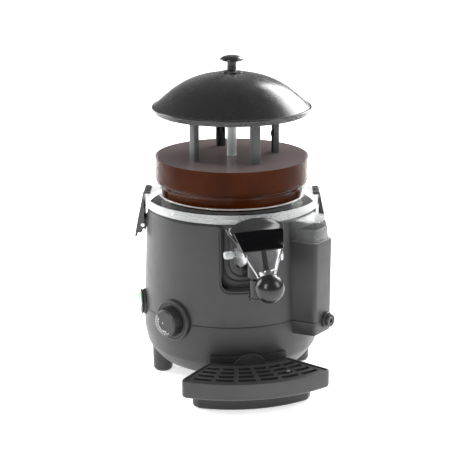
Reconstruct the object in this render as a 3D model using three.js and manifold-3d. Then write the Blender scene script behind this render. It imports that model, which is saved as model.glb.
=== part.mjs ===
// Countertop bain-marie dispenser for hot, thick drinks and sauces: a clear bowl with a stirrer
// stands on a water-bath body, and a lever tap pours over a removable drip tray.
// Millimetres, +Z up, front towards -Y. The body's axis is worked in as X = Y = 0, and the whole
// group is shifted at the end so that the origin is the bottom centre of its bounding box.
import * as THREE from 'three';
import { mergeVertices } from 'three/addons/utils/BufferGeometryUtils.js';
import Module from 'manifold-3d';

// ---------- driving dimensions ----------
const WALL = 3; // plastic housings
const GAP = 0.4; // between pieces that touch
const BODY_FACETS = 32;
const TANK_FACETS = 24;

const BODY_BOTTOM = 22;
const SEAM_Z = 103;
const BODY_TOP = 250;
const BODY_R_SEAM = 128.3;
const BODY_R_MAX = 129;
const BODY_R_TOP = 122;
const DECK_HOLE_R = 97;

const FOOT_RING_R = 104;
const FOOT_R = 14;
const FOOT_TOP_R = 15.5;
const FOOT_TOP_Z = 50;

const BOWL_R = 114.3;
const BOWL_WALL = 3;
const BOWL_TOP = 391;
const FLANGE_R = 125.3;
const FLANGE_TOP = 267;
const LID_R = 114;
const LID_APEX = 440;
const TOTAL_HEIGHT = 465;

const TANK_R = 86;
const TANK_BOTTOM = 150;
const SHAFT_R = 4;
const BLADE_RING_R = 69;
const BLADE_ANGLES = [5, 94, 205, 289]; // of the four stirrer blades, from +X
const STIRRER_TOP = 390;

const TRAY_FRONT_R = 208;
const TRAY_BACK_R = 134;
const TRAY_TIP_BEARING = 31;
const TRAY_BOTTOM = 27;
const TRAY_TOP = 52;
const PLINTH_FRONT_R = 178;
const PLINTH_HALF_WIDTH = 84;

const RECESS_HALF_WIDTH = 41;
const RECESS_BOTTOM = 152;
const VALVE_RADIUS = 155; // body axis to the tap's valve axis
const VALVE_BEARING = 2;
const HANDLE_YAW = 10; // the lever stands turned on its spout
const NOZZLE_BOTTOM = 153;
const LEVER_PIN_Z = 216;
const LEVER_PIN_BACK = 16; // pin behind the valve axis
const BALL_R = 20.3;
const BALL_CENTRE = [0, -44, 183.5]; // from the valve axis

const BOX_CORNERS = [[45.2, -95.5], [94, -130], [125, -101], [94.4, -49.4]]; // plan of the water box
const BOX_BOTTOM = 83;
const BOX_TOP = 219;
const COVER_TOP = 250;
const CUP_TOP = 237;

const DIAL_BEARING = -51;
const DIAL_Z = 104.5;
const DIAL_R = 20;
const BEZEL_R = 30;
const SWITCH_BEARING = -93;
const SWITCH_Z = 105;
const LATCH_BEARING = { left: -102, right: 78 };
const LATCH_PIN_R = 128.5;
const LATCH_PIN_Z = 221;
const REAR_Y = 136; // end of the cable gland
const GLAND_Z = 70;
const FILL_PORT_Z = 165; // joins the reservoir cup to the tank

// ---------- materials ----------
function finish(color, roughness, metalness = 0, opacity = 1) {
  const transparent = opacity < 1;
  return new THREE.MeshStandardMaterial({ color, roughness, metalness, opacity, transparent });
}

const blackPlastic = finish(0x3c3c3e, 0.55);
const lidPlastic = finish(0x262627, 0.38);
const glossBlack = finish(0x101011, 0.12);
const clearPlastic = finish(0xeef3f4, 0.05, 0, 0.3);
const stainless = finish(0xb9bbbd, 0.32, 1);
const zincSteel = finish(0x9c9ea0, 0.45, 1);
const brass = finish(0xb08d4a, 0.35, 1);
const blackRubber = finish(0x18181a, 0.85);
const stirrerPlastic = finish(0x2f3032, 0.5);
const greenRocker = finish(0x8fc79a, 0.3);
const whitePlastic = finish(0xe3e3df, 0.5);

// ---------- solid helpers ----------
const wasm = await Module();
wasm.setup();

function toManifold(geometry) {
  const bare = geometry.clone();
  bare.deleteAttribute('normal');
  bare.deleteAttribute('uv');
  const merged = mergeVertices(bare, 1e-4);
  const corners = merged.index.array;
  const faces = [];
  for (let i = 0; i < corners.length; i += 3) {
    const [a, b, c] = corners.slice(i, i + 3);
    if (a !== b && b !== c && c !== a) faces.push(a, b, c);
  }
  const position = merged.attributes.position.array;
  if (signedVolume(position, faces) < 0) faces.reverse();
  return new wasm.Manifold(new wasm.Mesh({
    numProp: 3,
    vertProperties: new Float32Array(position),
    triVerts: new Uint32Array(faces),
  }));
}

function signedVolume(position, faces) {
  const corner = (i) => new THREE.Vector3().fromArray(position, 3 * faces[i]);
  let volume = 0;
  for (let i = 0; i < faces.length; i += 3) {
    volume += corner(i).dot(corner(i + 1).cross(corner(i + 2))) / 6;
  }
  return volume;
}

function toGeometry(manifold) {
  const mesh = manifold.getMesh();
  const geometry = new THREE.BufferGeometry();
  geometry.setAttribute('position', new THREE.BufferAttribute(new Float32Array(mesh.vertProperties), 3));
  geometry.setIndex(new THREE.BufferAttribute(new Uint32Array(mesh.triVerts), 1));
  geometry.computeVertexNormals();
  return geometry;
}

function join(...geometries) {
  return toGeometry(geometries.map(toManifold).reduce((whole, next) => whole.add(next)));
}

function cut(body, ...tools) {
  return toGeometry(tools.map(toManifold).reduce((left, tool) => left.subtract(tool), toManifold(body)));
}

function common(a, b) {
  return toGeometry(toManifold(a).intersect(toManifold(b)));
}

// ---------- shape helpers ----------
const radians = THREE.MathUtils.degToRad;

// Revolves [radius, height] points about Z. A ring repeats its first point as its last one.
function revolve(points, facets = BODY_FACETS) {
  const profile = points.map(([r, z]) => new THREE.Vector2(r, z));
  return new THREE.LatheGeometry(profile, facets).rotateX(Math.PI / 2);
}

const ring = (points, facets) => revolve([...points, points[0]], facets);

function cylinderZ(radius, low, high, facets = 24, topRadius = radius) {
  return new THREE.CylinderGeometry(topRadius, radius, high - low, facets)
    .rotateX(Math.PI / 2)
    .translate(0, 0, (low + high) / 2);
}

function cylinderX(radius, start, end, facets = 24, endRadius = radius) {
  return new THREE.CylinderGeometry(endRadius, radius, end - start, facets)
    .rotateZ(-Math.PI / 2)
    .translate((start + end) / 2, 0, 0);
}

const cylinderY = (radius, start, end, facets, endRadius) =>
  cylinderX(radius, start, end, facets, endRadius).rotateZ(Math.PI / 2);

function block([x0, x1], [y0, y1], [z0, z1]) {
  return new THREE.BoxGeometry(x1 - x0, y1 - y0, z1 - z0)
    .translate((x0 + x1) / 2, (y0 + y1) / 2, (z0 + z1) / 2);
}

function prism(outline, low, high) {
  const shape = new THREE.Shape(outline.map(([x, y]) => new THREE.Vector2(x, y)));
  return new THREE.ExtrudeGeometry(shape, { depth: high - low, bevelEnabled: false }).translate(0, 0, low);
}

// The same for an outline in the X-Z plane, which runs forwards from -start to -end along Y.
const prismFront = (outline, start, end) => prism(outline, start, end).rotateX(Math.PI / 2);

// And for an outline in the Y-Z plane, which runs along X.
function prismSide(outline, start, end) {
  const turned = new THREE.Matrix4().makeBasis(
    new THREE.Vector3(0, 1, 0), new THREE.Vector3(0, 0, 1), new THREE.Vector3(1, 0, 0));
  return prism(outline, start, end).applyMatrix4(turned);
}

// Points of an arc about the body's axis, from one bearing to another. Bearing 0 is the front.
function arc(radius, from, to, steps) {
  return Array.from({ length: steps + 1 }, (_, i) => {
    const bearing = radians(from + ((to - from) * i) / steps);
    return [radius * Math.sin(bearing), -radius * Math.cos(bearing)];
  });
}

// Replaces each corner of a closed outline by an arc-like run of points.
function rounded(outline, radius, steps = 3) {
  return outline.flatMap((corner, i) => {
    const at = new THREE.Vector2(...corner);
    const before = new THREE.Vector2(...outline[(i + outline.length - 1) % outline.length]).sub(at);
    const after = new THREE.Vector2(...outline[(i + 1) % outline.length]).sub(at);
    const start = at.clone().add(before.setLength(radius));
    const end = at.clone().add(after.setLength(radius));
    const curve = new THREE.QuadraticBezierCurve(start, at, end);
    return curve.getPoints(steps).map((p) => [p.x, p.y]);
  });
}

// Moves every edge of a convex, anticlockwise outline inwards.
function inset(outline, distance) {
  return outline.map((corner, i) => {
    const at = new THREE.Vector2(...corner);
    const last = new THREE.Vector2(...outline[(i + outline.length - 1) % outline.length]);
    const into = at.clone().sub(last).normalize();
    const out = new THREE.Vector2(...outline[(i + 1) % outline.length]).sub(at).normalize();
    const bisector = out.clone().sub(into).normalize();
    const halfSine = Math.abs(into.cross(bisector));
    return [at.x + (bisector.x * distance) / halfSine, at.y + (bisector.y * distance) / halfSine];
  });
}

function tube(points, radius, sides = 8, steps = 12) {
  const section = new THREE.Shape(
    Array.from({ length: sides }, (_, i) => {
      const turn = (2 * Math.PI * i) / sides;
      return new THREE.Vector2(radius * Math.cos(turn), radius * Math.sin(turn));
    }));
  const path = new THREE.CatmullRomCurve3(points.map((p) => new THREE.Vector3(...p)));
  return new THREE.ExtrudeGeometry(section, { steps, extrudePath: path, bevelEnabled: false });
}

// ---------- scene graph ----------
const dispenser = new THREE.Group();

function piece(name, geometry, material, parent = dispenser) {
  const mesh = new THREE.Mesh(join(geometry), material); // join also points its faces outwards
  mesh.name = name;
  parent.add(mesh);
  return mesh;
}

// A group whose +X points straight out of the body at a bearing from the front.
function facing(bearing, height = 0) {
  const group = new THREE.Group();
  group.rotation.z = radians(bearing - 90);
  group.position.z = height;
  dispenser.add(group);
  return group;
}

// ---------- body ----------
// Outer skin of the lower housing as [radius, height], grown by a clearance where wanted.
function baseSkin(grow = 0) {
  const skin = [
    [96, BODY_BOTTOM], [106, 25], [112, 30], [117.5, 37], [121.4, 43], [124.3, 48], [126.5, 57.6],
    [128.3, 67], [BODY_R_MAX, 77], [BODY_R_MAX, 95], [BODY_R_SEAM, SEAM_Z],
  ];
  return skin.map(([r, z]) => [r + grow, z < 60 ? z - grow : z]);
}

// Envelope of both housings, for the pieces that lie against them.
function bodyEnvelope(grow = 0) {
  const upper = [[126.3, 160], [124.7, 197], [BODY_R_TOP, BODY_TOP]].map(([r, z]) => [r + grow, z]);
  return revolve([[0, BODY_BOTTOM - grow], ...baseSkin(grow), ...upper, [0, BODY_TOP]]);
}

const boxOutline = (offset) => rounded(inset(BOX_CORNERS, offset), 7 - offset / 2);

// A cylinder across the housing wall at a bearing, for a control's hole.
function wallHole(radius, bearing, height, reach = [100, 140]) {
  return cylinderX(radius, ...reach, 20).rotateZ(radians(bearing - 90)).translate(0, 0, height);
}

const [, FACE_START, FACE_END] = BOX_CORNERS; // the box's outer face, which carries the drain
const BOX_FACE_ANGLE = Math.atan2(FACE_END[1] - FACE_START[1], FACE_END[0] - FACE_START[0]);
const DRAIN_POINT = [115, -110.3];
const DRAIN_Z = 101;
const DRAIN_HOLE_R = 4.2;

// +X out of the water box's outer face, at the drain valve.
function placeAtDrain(object) {
  object.rotation.z = BOX_FACE_ANGLE - Math.PI / 2;
  object.position.set(...DRAIN_POINT, DRAIN_Z);
  return object;
}

function drainHole() {
  return cylinderX(DRAIN_HOLE_R, -12, 12, 16)
    .rotateZ(BOX_FACE_ANGLE - Math.PI / 2)
    .translate(...DRAIN_POINT, DRAIN_Z);
}

function switchHole() {
  return block([100, 140], [-10.4, 10.4], [-13.4, 13.4])
    .rotateZ(radians(SWITCH_BEARING - 90))
    .translate(0, 0, SWITCH_Z);
}

function makeBaseHousing() {
  const outer = revolve([[0, BODY_BOTTOM], ...baseSkin(), [0, SEAM_Z]]);
  const hollow = revolve([
    [0, BODY_BOTTOM + WALL], [95, BODY_BOTTOM + WALL], [109.5, 32.5], [118.4, 44.5], [123.6, 58.5],
    [126, 77], [126, 95], [125.3, SEAM_Z + 1], [0, SEAM_Z + 1],
  ]);
  const gland = cylinderY(7, 110, 140, 16).translate(0, 0, GLAND_Z);
  const screwHoles = [0, 90, 180, 270].map((bearing) =>
    cylinderZ(2.6, 0, 60, 8).translate(...arc(FOOT_RING_R, bearing, bearing, 1)[0], 0));
  return cut(
    join(outer, prism(boxOutline(0), BOX_BOTTOM, SEAM_Z)),
    hollow,
    prism(boxOutline(WALL), BOX_BOTTOM + WALL, SEAM_Z + 1),
    wallHole(6, DIAL_BEARING, DIAL_Z),
    switchHole(),
    drainHole(),
    gland,
    ...screwHoles,
  );
}

// Front opening for the tap: straight sides, round lower corners, open at the top.
function recessOutline(shrink = 0) {
  const half = RECESS_HALF_WIDTH - shrink;
  const low = RECESS_BOTTOM + shrink;
  return rounded([[-half, 300], [-half, low], [half, low], [half, 300]], 17 - shrink, 4);
}

const recessPrism = (shrink, start, end) => prismFront(recessOutline(shrink), start, end);

function makeUpperHousing() {
  const seam = SEAM_Z + GAP;
  const shell = ring([
    [BODY_R_SEAM, seam], [127.3, 137], [126.3, 160], [124.7, 197], [BODY_R_TOP, 247], [119, BODY_TOP],
    [DECK_HOLE_R, BODY_TOP], [DECK_HOLE_R, 247], [118.5, 246.5], [121.7, 197], [124.3, 137], [125.3, seam],
  ]);
  const hollowCore = revolve([
    [0, seam - 1], [125.3, seam - 1], [124.3, 137], [121.7, 197], [118.5, 246.5], [0, 246.5],
  ]);
  const waterBox = cut(prism(boxOutline(0), seam, BOX_TOP), hollowCore);
  const cupHole = cut(
    prism(boxOutline(4.2), BOX_TOP - 5, BOX_TOP + 1), cylinderZ(127, 0, 300, BODY_FACETS));
  return cut(
    join(shell, waterBox),
    prism(boxOutline(WALL), seam - 1, BOX_TOP - WALL),
    cupHole,
    recessPrism(0, 80, 140),
    wallHole(6, DIAL_BEARING, DIAL_Z),
    switchHole(),
    drainHole(),
  );
}

// Pocket that closes the front opening behind the tap.
function makeRecessPanel() {
  const annulus = ring([[106, 150], [125.6, 150], [121, 246], [106, 246]]);
  const pocket = cut(recessPrism(WALL + GAP, 100, 140), cylinderZ(109, 100, 300, BODY_FACETS));
  const spoutHole = block([-14.5, 14.5], [-115, -95], [184.5, 207.5]).rotateZ(radians(VALVE_BEARING));
  return cut(common(annulus, recessPrism(GAP, 80, 140)), pocket, spoutHole);
}

function addFeet() {
  const clearance = bodyEnvelope(GAP);
  const places = { foot_front: 0, foot_right: 90, foot_rear: 180, foot_left: 270 };
  for (const [name, bearing] of Object.entries(places)) {
    const [x, y] = arc(FOOT_RING_R, bearing, bearing, 1)[0];
    const leg = join(
      cylinderZ(FOOT_R - 2, 0, 2.5, 18, FOOT_R),
      cylinderZ(FOOT_R, 2.4, FOOT_TOP_Z, 18, FOOT_TOP_R),
    ).translate(x, y, 0);
    const bore = cylinderZ(2.6, -1, FOOT_TOP_Z + 1, 8).translate(x, y, 0);
    const counterbore = cylinderZ(5, -1, 8, 10).translate(x, y, 0);
    piece(name, cut(leg, clearance, bore, counterbore), blackPlastic);
    const screw = join(cylinderZ(2.2, 5, 33, 8), cylinderZ(4.4, 4.4, 7.6, 8)).translate(x, y, 0);
    piece(`${name}_screw`, screw, zincSteel);
  }
}

// ---------- water bath, heater and drive ----------
function makeTank() {
  const shell = ring([
    [8.6, TANK_BOTTOM], [TANK_R, TANK_BOTTOM], [TANK_R, BODY_TOP + GAP], [103, BODY_TOP + GAP],
    [103, 251.7], [TANK_R, 251.7], [TANK_R, 260], [84, 262], [8.6, 262],
  ], TANK_FACETS);
  const hollow = ring([
    [10.2, TANK_BOTTOM + 1.5], [TANK_R - 1.5, TANK_BOTTOM + 1.5], [TANK_R - 1.5, 259.5], [83, 260.5],
    [10.2, 260.5],
  ], TANK_FACETS);
  const fillPort = cylinderX(5, 60, 100, 12).rotateZ(radians(45 - 90)).translate(0, 0, FILL_PORT_Z);
  const drainPort = cylinderZ(5, 140, 155, 12).translate(48, -54, 0);
  const riserNotch = block([-14, 14], [-110, -91], [249, 253]).rotateZ(radians(VALVE_BEARING));
  return cut(shell, hollow, fillPort, drainPort, riserNotch);
}

function makeHeater() {
  const section = Array.from({ length: 6 }, (_, i) => {
    const turn = (2 * Math.PI * i) / 6;
    return [60 + 4 * Math.cos(turn), 145 + 4 * Math.sin(turn)];
  });
  const leads = [-8, 8].map((x) => cylinderZ(2, 128, 145, 8).translate(x, 59.4, 0));
  return join(ring(section, TANK_FACETS), ...leads);
}

function makeMotorBracket() {
  const top = block([-62, 62], [-24, 24], [108.4, 110.4]);
  const legs = [-1, 1].map((side) =>
    join(block([side * 61 - 1, side * 61 + 1], [-24, 24], [25.6, 110.4]),
      block([side * 67 - 7, side * 67 + 7], [-24, 24], [25.6, 27.6])));
  return cut(join(top, ...legs), cylinderZ(9, 100, 120, 16));
}

function addDrive() {
  const shaftBore = SHAFT_R + GAP;
  const gasket = [[86.4, 253], [90.2, 253], [90.2, 259.5], [88.4, 260.8], [86.4, 259.5]];
  const lip = [[shaftBore, 262.4], [10, 262.4], [8, 268], [shaftBore, 268]];
  piece('water_bath_tank', makeTank(), stainless);
  piece('tank_gasket', ring(gasket, TANK_FACETS), blackRubber);
  piece('heating_element', makeHeater(), zincSteel);
  piece('thermal_cutout', cylinderZ(9, 141, TANK_BOTTOM - GAP, 16).translate(-30, 0, 0), brass);
  const gearCase = cut(block([-36, 36], [-27, 27], [84, 108]), cylinderZ(shaftBore, 96, 110, 16));
  piece('gearbox', gearCase, zincSteel);
  const motor = join(cylinderZ(26, 34, 83.6, 24), cylinderZ(8, 30, 34.5, 12));
  piece('gear_motor', motor.translate(-8, 0, 0), zincSteel);
  piece('motor_bracket', makeMotorBracket(), zincSteel);
  piece('shaft_seal', ring(lip, 16), blackRubber);
  piece('drive_shaft', cylinderZ(SHAFT_R, 97, 330, 16), stainless);
  piece('terminal_block', block([22, 54], [80, 90], [31, 44]), whitePlastic);
}

function addPlumbing() {
  const gland = cut(
    join(cylinderY(6.6, 118, 134, 16), cylinderY(10, 129.2, 132.5, 16), cylinderY(8, 132.4, REAR_Y, 16)),
    cylinderY(4, 110, 140, 12));
  piece('cable_gland', gland.translate(0, 0, GLAND_Z), blackPlastic);
  const fillPath = [62.2, 70, 79, 90.6].map((reach) => [reach, -reach, FILL_PORT_Z]);
  piece('fill_hose', tube(fillPath, 4.2, 8, 3), blackRubber);
  const drainPath = [
    [48, -54, TANK_BOTTOM - 0.6], [48, -54, 138], [58, -63, 122], [78, -77, 111],
    [100, -94.3, DRAIN_Z], [108.6, -103.4, DRAIN_Z],
  ];
  piece('drain_hose', tube(drainPath, 3.8, 8, 14), blackRubber);
}

// ---------- bowl, stirrer and lid ----------
function makeBowl() {
  const inner = BOWL_R - BOWL_WALL;
  const outlet = block([-9, 9], [-101.5, -95.5], [255, 270]).rotateZ(radians(VALVE_BEARING));
  return cut(ring([
    [BOWL_R, BOWL_TOP], [113.5, 322], [BOWL_R, 290], [112.5, 284.5], [107, 281.5], [105.3, 277],
    [105.3, FLANGE_TOP], [124.3, FLANGE_TOP], [FLANGE_R, 266], [FLANGE_R, 252.1], [122.6, 252.1],
    [122.6, 264], [103, 264], [101, 260.2], [93, 260.2], [93, 252.8], [90.8, 252.8], [90.8, 263.2],
    [100, 263.2], [102.3, 266], [102.3, 279], [104.5, 284], [110.2, 287.5], [inner, 291],
    [110.5, 322], [inner, BOWL_TOP],
  ]), outlet);
}

function makeStirrer() {
  const post = cylinderZ(6.6, 269, STIRRER_TOP, 20);
  const bore = cylinderZ(SHAFT_R + 0.3, 260, 331, 16);
  const collar = cylinderZ(11, 382, STIRRER_TOP, 20);
  const blade = join(
    block([BLADE_RING_R - 1.6, BLADE_RING_R + 1.6], [-6.5, 6.5], [288, STIRRER_TOP]),
    block([BLADE_RING_R - 14, BLADE_RING_R + 1.6], [-6.5, 6.5], [288, 292]),
    block([0, BLADE_RING_R], [-5, 5], [385, STIRRER_TOP]),
  );
  const blades = BLADE_ANGLES.map((angle) => blade.clone().rotateZ(radians(angle)));
  return cut(join(post, collar, ...blades), bore);
}

function makeLid() {
  const profile = [
    [2.9, LID_APEX], [16, LID_APEX], [31, 438.3], [49, 434.2], [67, 425.8], [82, 417.4], [93, 409],
    [102, 400.6], [109, 394.8], [LID_R - 0.5, 394.2], [LID_R, 391.4], [109.6, 391.4],
    [109.6, 384], [107.4, 384], [107.4, 392.5], [91, 406.8], [65, 423.3], [30, 435.8], [2.9, 437.4],
  ];
  return ring(profile);
}

function addBowlAndLid() {
  piece('bowl', makeBowl(), clearPlastic);
  piece('stirrer_frame', makeStirrer(), stirrerPlastic);
  piece('lid_dome', makeLid(), lidPlastic);
  const knob = cut(revolve([
    [0, LID_APEX + GAP], [15.6, LID_APEX + GAP], [15, 442.6], [7, 443.6], [6.4, 446], [6.6, 456.5],
    [14.5, 457.2], [17, 459.4], [17, 461.6], [14.5, 464], [9, TOTAL_HEIGHT], [0, TOTAL_HEIGHT],
  ], 18), cylinderZ(2.6, 430, 455, 8));
  piece('lid_knob', knob, lidPlastic);
  piece('lid_knob_screw', join(cylinderZ(2.2, 435, 453, 8), cylinderZ(5.5, 433.6, 437, 12)), stainless);
}

// ---------- side latches ----------
function addLatch(name) {
  const turn = LATCH_BEARING[name] - 90;
  // Outline as [distance from the body's axis, height], spread sideways from `from` to `to`.
  const plate = (from, to, outline) => prism(outline, -to, -from).rotateX(Math.PI / 2);
  const skin = plate(-19, 19, [
    [117, 267.6], [116.6, 269.6], [119, 271.5], [125, 272], [127.6, 269.4], [130.8, 252], [135.6, 231],
    [139.6, 210], [140.3, 203], [138.6, 201.5], [136.4, 206], [132.6, 229.5], [128.4, 250], [126.3, 262],
    [126.3, 267.6],
  ]);
  const cheek = [
    [126.3, 260], [128, 262], [128.6, 258], [133.4, 231], [137, 209], [130.5, 209], [126.7, 218], [126.3, 228],
  ];
  const pinHole = cylinderY(2.4, -22, 22, 12).translate(LATCH_PIN_R, 0, LATCH_PIN_Z);
  const lever = cut(join(skin, plate(-19, -16.6, cheek), plate(16.6, 19, cheek)), pinHole);
  piece(`latch_lever_${name}`, lever.rotateZ(radians(turn)), blackPlastic);

  const base = plate(-15, 15, [[120, 212], [125.6, 212], [125.6, 231], [120, 231]]);
  const lug = [[124, 214], [129, 213.6], [131, 216], [131, 226], [129, 228.4], [124, 228.4]];
  const bracket = cut(join(base, plate(-15, -11.8, lug), plate(11.8, 15, lug)), pinHole, bodyEnvelope(0.7));
  piece(`latch_bracket_${name}`, bracket.rotateZ(radians(turn)), blackPlastic);
  const pin = cylinderY(2, -19.8, 19.8, 12).translate(LATCH_PIN_R, 0, LATCH_PIN_Z);
  piece(`latch_pin_${name}`, pin.rotateZ(radians(turn)), stainless);
}

// ---------- controls ----------
function addDial() {
  const local = facing(DIAL_BEARING, DIAL_Z);
  const clearance = bodyEnvelope(1.1).translate(0, 0, -DIAL_Z);
  const bezel = cut(
    join(cylinderX(BEZEL_R, 110, 130.4, 30), cylinderX(BEZEL_R, 130.3, 132.4, 30, BEZEL_R - 2)),
    clearance,
    cylinderX(DIAL_R + 2.5, 130.6, 140, 24),
    cylinderX(5, 100, 140, 16));
  piece('dial_bezel', bezel, blackPlastic, local);
  const knob = cut(
    join(
      cylinderX(DIAL_R, 131.2, 145.6, 24, DIAL_R - 0.8),
      cylinderX(DIAL_R - 0.8, 145.5, 147.5, 24, DIAL_R - 2.6)),
    cylinderX(3.4, 130, 143, 16));
  piece('dial_knob', knob, blackPlastic, local);
  const thermostat = join(block([92, 117], [-17, 17], [-17, 17]), cylinderX(3, 116, 142, 16));
  piece('thermostat', thermostat, zincSteel, local);
}

function addSwitch() {
  const local = facing(SWITCH_BEARING, SWITCH_Z);
  const flange = cut(cylinderX(19, 110, 133.5, 28), bodyEnvelope(1.1).translate(0, 0, -SWITCH_Z));
  const housing = cut(
    join(flange, block([104, 130], [-10, 10], [-13, 13])),
    block([121, 150], [-8.2, 8.2], [-11.7, 11.7]));
  piece('switch_housing', housing, blackPlastic, local);
  // Round-backed rocker, drawn in the X-Z plane about its pivot, leaning to its off side.
  const back = Array.from({ length: 9 }, (_, i) => {
    const turn = radians(90 + (180 * i) / 8);
    return [131.6 + 8 * Math.cos(turn), 10.8 * Math.sin(turn)];
  });
  const outline = [...back, [137, -10], [134.4, 0], [139.6, 10]];
  const rocker = prism(outline, -7.6, 7.6).rotateX(Math.PI / 2);
  piece('switch_rocker', rocker, greenRocker, local);
}

// ---------- water box ----------
function addWaterBox() {
  const bodyGap = (radius) => cylinderZ(radius, 0, 300, BODY_FACETS);
  const cup = cut(
    prism(boxOutline(4.8), 127, CUP_TOP),
    bodyGap(129),
    cut(prism(boxOutline(6.6), 129, CUP_TOP + 1), bodyGap(131)),
    cylinderX(3.8, 120, 136, 10).rotateZ(radians(45 - 90)).translate(0, 0, FILL_PORT_Z));
  piece('reservoir_cup', cup, blackPlastic);
  const cover = cut(
    prism(boxOutline(0.2), BOX_TOP + GAP, COVER_TOP),
    bodyGap(126),
    cut(prism(boxOutline(2.2), BOX_TOP, COVER_TOP - 2), bodyGap(128)));
  piece('reservoir_cover', cover, clearPlastic);

  const local = placeAtDrain(new THREE.Group());
  dispenser.add(local);
  const valve = cut(
    join(cylinderX(DRAIN_HOLE_R - GAP, -9, 3, 16), cylinderX(11, GAP, 4, 24)),
    cylinderX(2.4, -4, 10, 12));
  piece('drain_valve_body', valve, blackPlastic, local);
  const knob = join(cylinderX(9.6, 4.4, 9.6, 24, 9), cylinderX(2, -3, 5, 12));
  piece('drain_knob', cut(knob, cylinderX(2.6, 6.4, 12, 12)), blackPlastic, local);
}

// ---------- tap ----------
// In the tap's head frame the valve axis is the origin, -Y is the front and the lever's pin lies
// along X. Lever outlines are [x, z] from the front and [y, z] from the side.
const LEVER_FRONT = [
  [-12, 193], [12, 193], [15.5, 200.5], [31, 229], [39, 250], [42, 255.5], [37, 260.5], [25, 265],
  [10, 267.7], [-10, 267.7], [-25, 265], [-37, 260.5], [-42, 255.5], [-39, 250], [-31, 229],
  [-15.5, 200.5],
];
const LEVER_SIDE = [
  [-43, 193], [-24, 193], [-15.5, 206], [-15.5, 226], [-8, 238], [8, 257], [8, 266], [5, 268], [2, 262],
  [-1, 253.5], [-20.8, 229], [-27, 215], [-33, 203],
];
const LEVER_HOLLOW = [
  [-6, 204], [-6, 236], [4, 249], [1.5, 251], [-17.6, 229.3], [-23.8, 215], [-26, 204],
];
const LEVER_ARM = [[-22, 222], [-20, 212], [8, 204], [20, 207], [22, 216], [18, 225], [0, 231], [-12, 236]];
const PLATE_FOOT = [0, -20.8, 229.2]; // lower edge of the sloping label plate
const PLATE_SLOPE = 51; // degrees from horizontal
const PLATE_LENGTH = 29;

function makeSpout(yawed) {
  const barrel = join(
    cylinderZ(11, NOZZLE_BOTTOM, 184, 24, 12),
    cylinderZ(12, 183.9, 187, 24, 15),
    cylinderZ(15, 186.9, 209.4, 24)).translate(0, -VALVE_RADIUS, 0);
  const duct = block([-13, 13], [-VALVE_RADIUS, -94], [186, 206]);
  const riser = block([-12, 12], [-103.5, -94], [186, 259.8]);
  const saddle = yawed(block([-23, 23], [6, 22], [196, 209.4]));
  const lugs = [-19.5, 19.5].map((x) => yawed(block([x - 3.5, x + 3.5], [10, 22], [196, 225])));
  return cut(
    join(barrel, duct, riser, saddle, ...lugs),
    cylinderZ(8.4, NOZZLE_BOTTOM - 1, 213, 24).translate(0, -VALVE_RADIUS, 0),
    block([-9, 9], [-VALVE_RADIUS, -96.5], [189, 201]),
    block([-9, 9], [-101.5, -96.5], [189, 262]),
    yawed(cylinderX(3.6, -60, 60, 14).translate(0, LEVER_PIN_BACK, LEVER_PIN_Z)));
}

function makeHandle() {
  const solid = common(prismFront(LEVER_FRONT, -10, 60), prismSide(LEVER_SIDE, -45, 45));
  const inside = LEVER_FRONT.map(([x, z]) => [x * 0.9, z - 3]);
  const hollow = common(prismFront(inside, -10, 60), prismSide(LEVER_HOLLOW, -45, 45));
  const arms = [-26, 26].map((x) => prismSide(LEVER_ARM, x - 2, x + 2));
  const ball = new THREE.SphereGeometry(BALL_R, 18, 10).rotateX(Math.PI / 2).translate(...BALL_CENTRE);
  const linkPin = cylinderX(1.5, -25, 25, 8).translate(0, 0, LEVER_PIN_Z);
  const pinHole = cylinderX(3.6, -60, 60, 14).translate(0, LEVER_PIN_BACK, LEVER_PIN_Z);
  return cut(join(cut(solid, hollow), ...arms, ball, linkPin), pinHole);
}

// Plunger with a seal groove, and an eye at its top whose slot holds the lever's link pin.
function makePiston() {
  const plug = join(cylinderZ(7.9, 187, 208, 20), cylinderZ(3, 207.5, 213.5, 10));
  const groove = ring([[6.4, 202], [9, 202], [9, 204.6], [6.4, 204.6]], 20);
  const eye = cut(block([-3.2, 3.2], [-7, 7], [212.7, 221]), block([-5, 5], [-4.6, 4.6], [213.9, 218.1]));
  return join(cut(plug, groove), eye);
}

function makePivotPin() {
  const ribs = Array.from({ length: 10 }, (_, i) =>
    cylinderX(0.8, -41, -31, 6).translate(0, 4.6, 0).rotateX((2 * Math.PI * i) / 10));
  return join(cylinderX(3.2, -31, 30, 14), cylinderX(4.8, -41.8, -30, 16), ...ribs)
    .translate(0, LEVER_PIN_BACK, LEVER_PIN_Z);
}

function addTap() {
  const valve = new THREE.Group();
  valve.rotation.z = radians(VALVE_BEARING);
  dispenser.add(valve);
  const head = new THREE.Group();
  head.position.y = -VALVE_RADIUS;
  head.rotation.z = radians(HANDLE_YAW - VALVE_BEARING);
  valve.add(head);
  const yawed = (geometry) => geometry.rotateZ(head.rotation.z).translate(0, -VALVE_RADIUS, 0);

  piece('tap_spout', makeSpout(yawed), blackPlastic, valve);
  piece('tap_handle', makeHandle(), glossBlack, head);
  const plate = prism([[-29.5, 0], [29.5, 0], [36.5, PLATE_LENGTH], [-36.5, PLATE_LENGTH]], 0.5, 1.7)
    .rotateX(radians(PLATE_SLOPE))
    .translate(...PLATE_FOOT);
  piece('handle_plate', plate, glossBlack, head);
  piece('tap_pivot_pin', makePivotPin(), clearPlastic, head);
  piece('tap_piston', makePiston(), whitePlastic, head);
  const seal = ring([[6.6, 202.3], [8.1, 202.3], [8.1, 204.3], [6.6, 204.3]], 20);
  piece('piston_seal', seal, blackRubber, head);
  const spring = ring([[3.7, -5], [5.8, -5], [5.8, 5], [3.7, 5]], 16)
    .rotateY(Math.PI / 2)
    .translate(10.2, LEVER_PIN_BACK, LEVER_PIN_Z);
  piece('lever_spring', spring, stainless, head);
}

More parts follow.
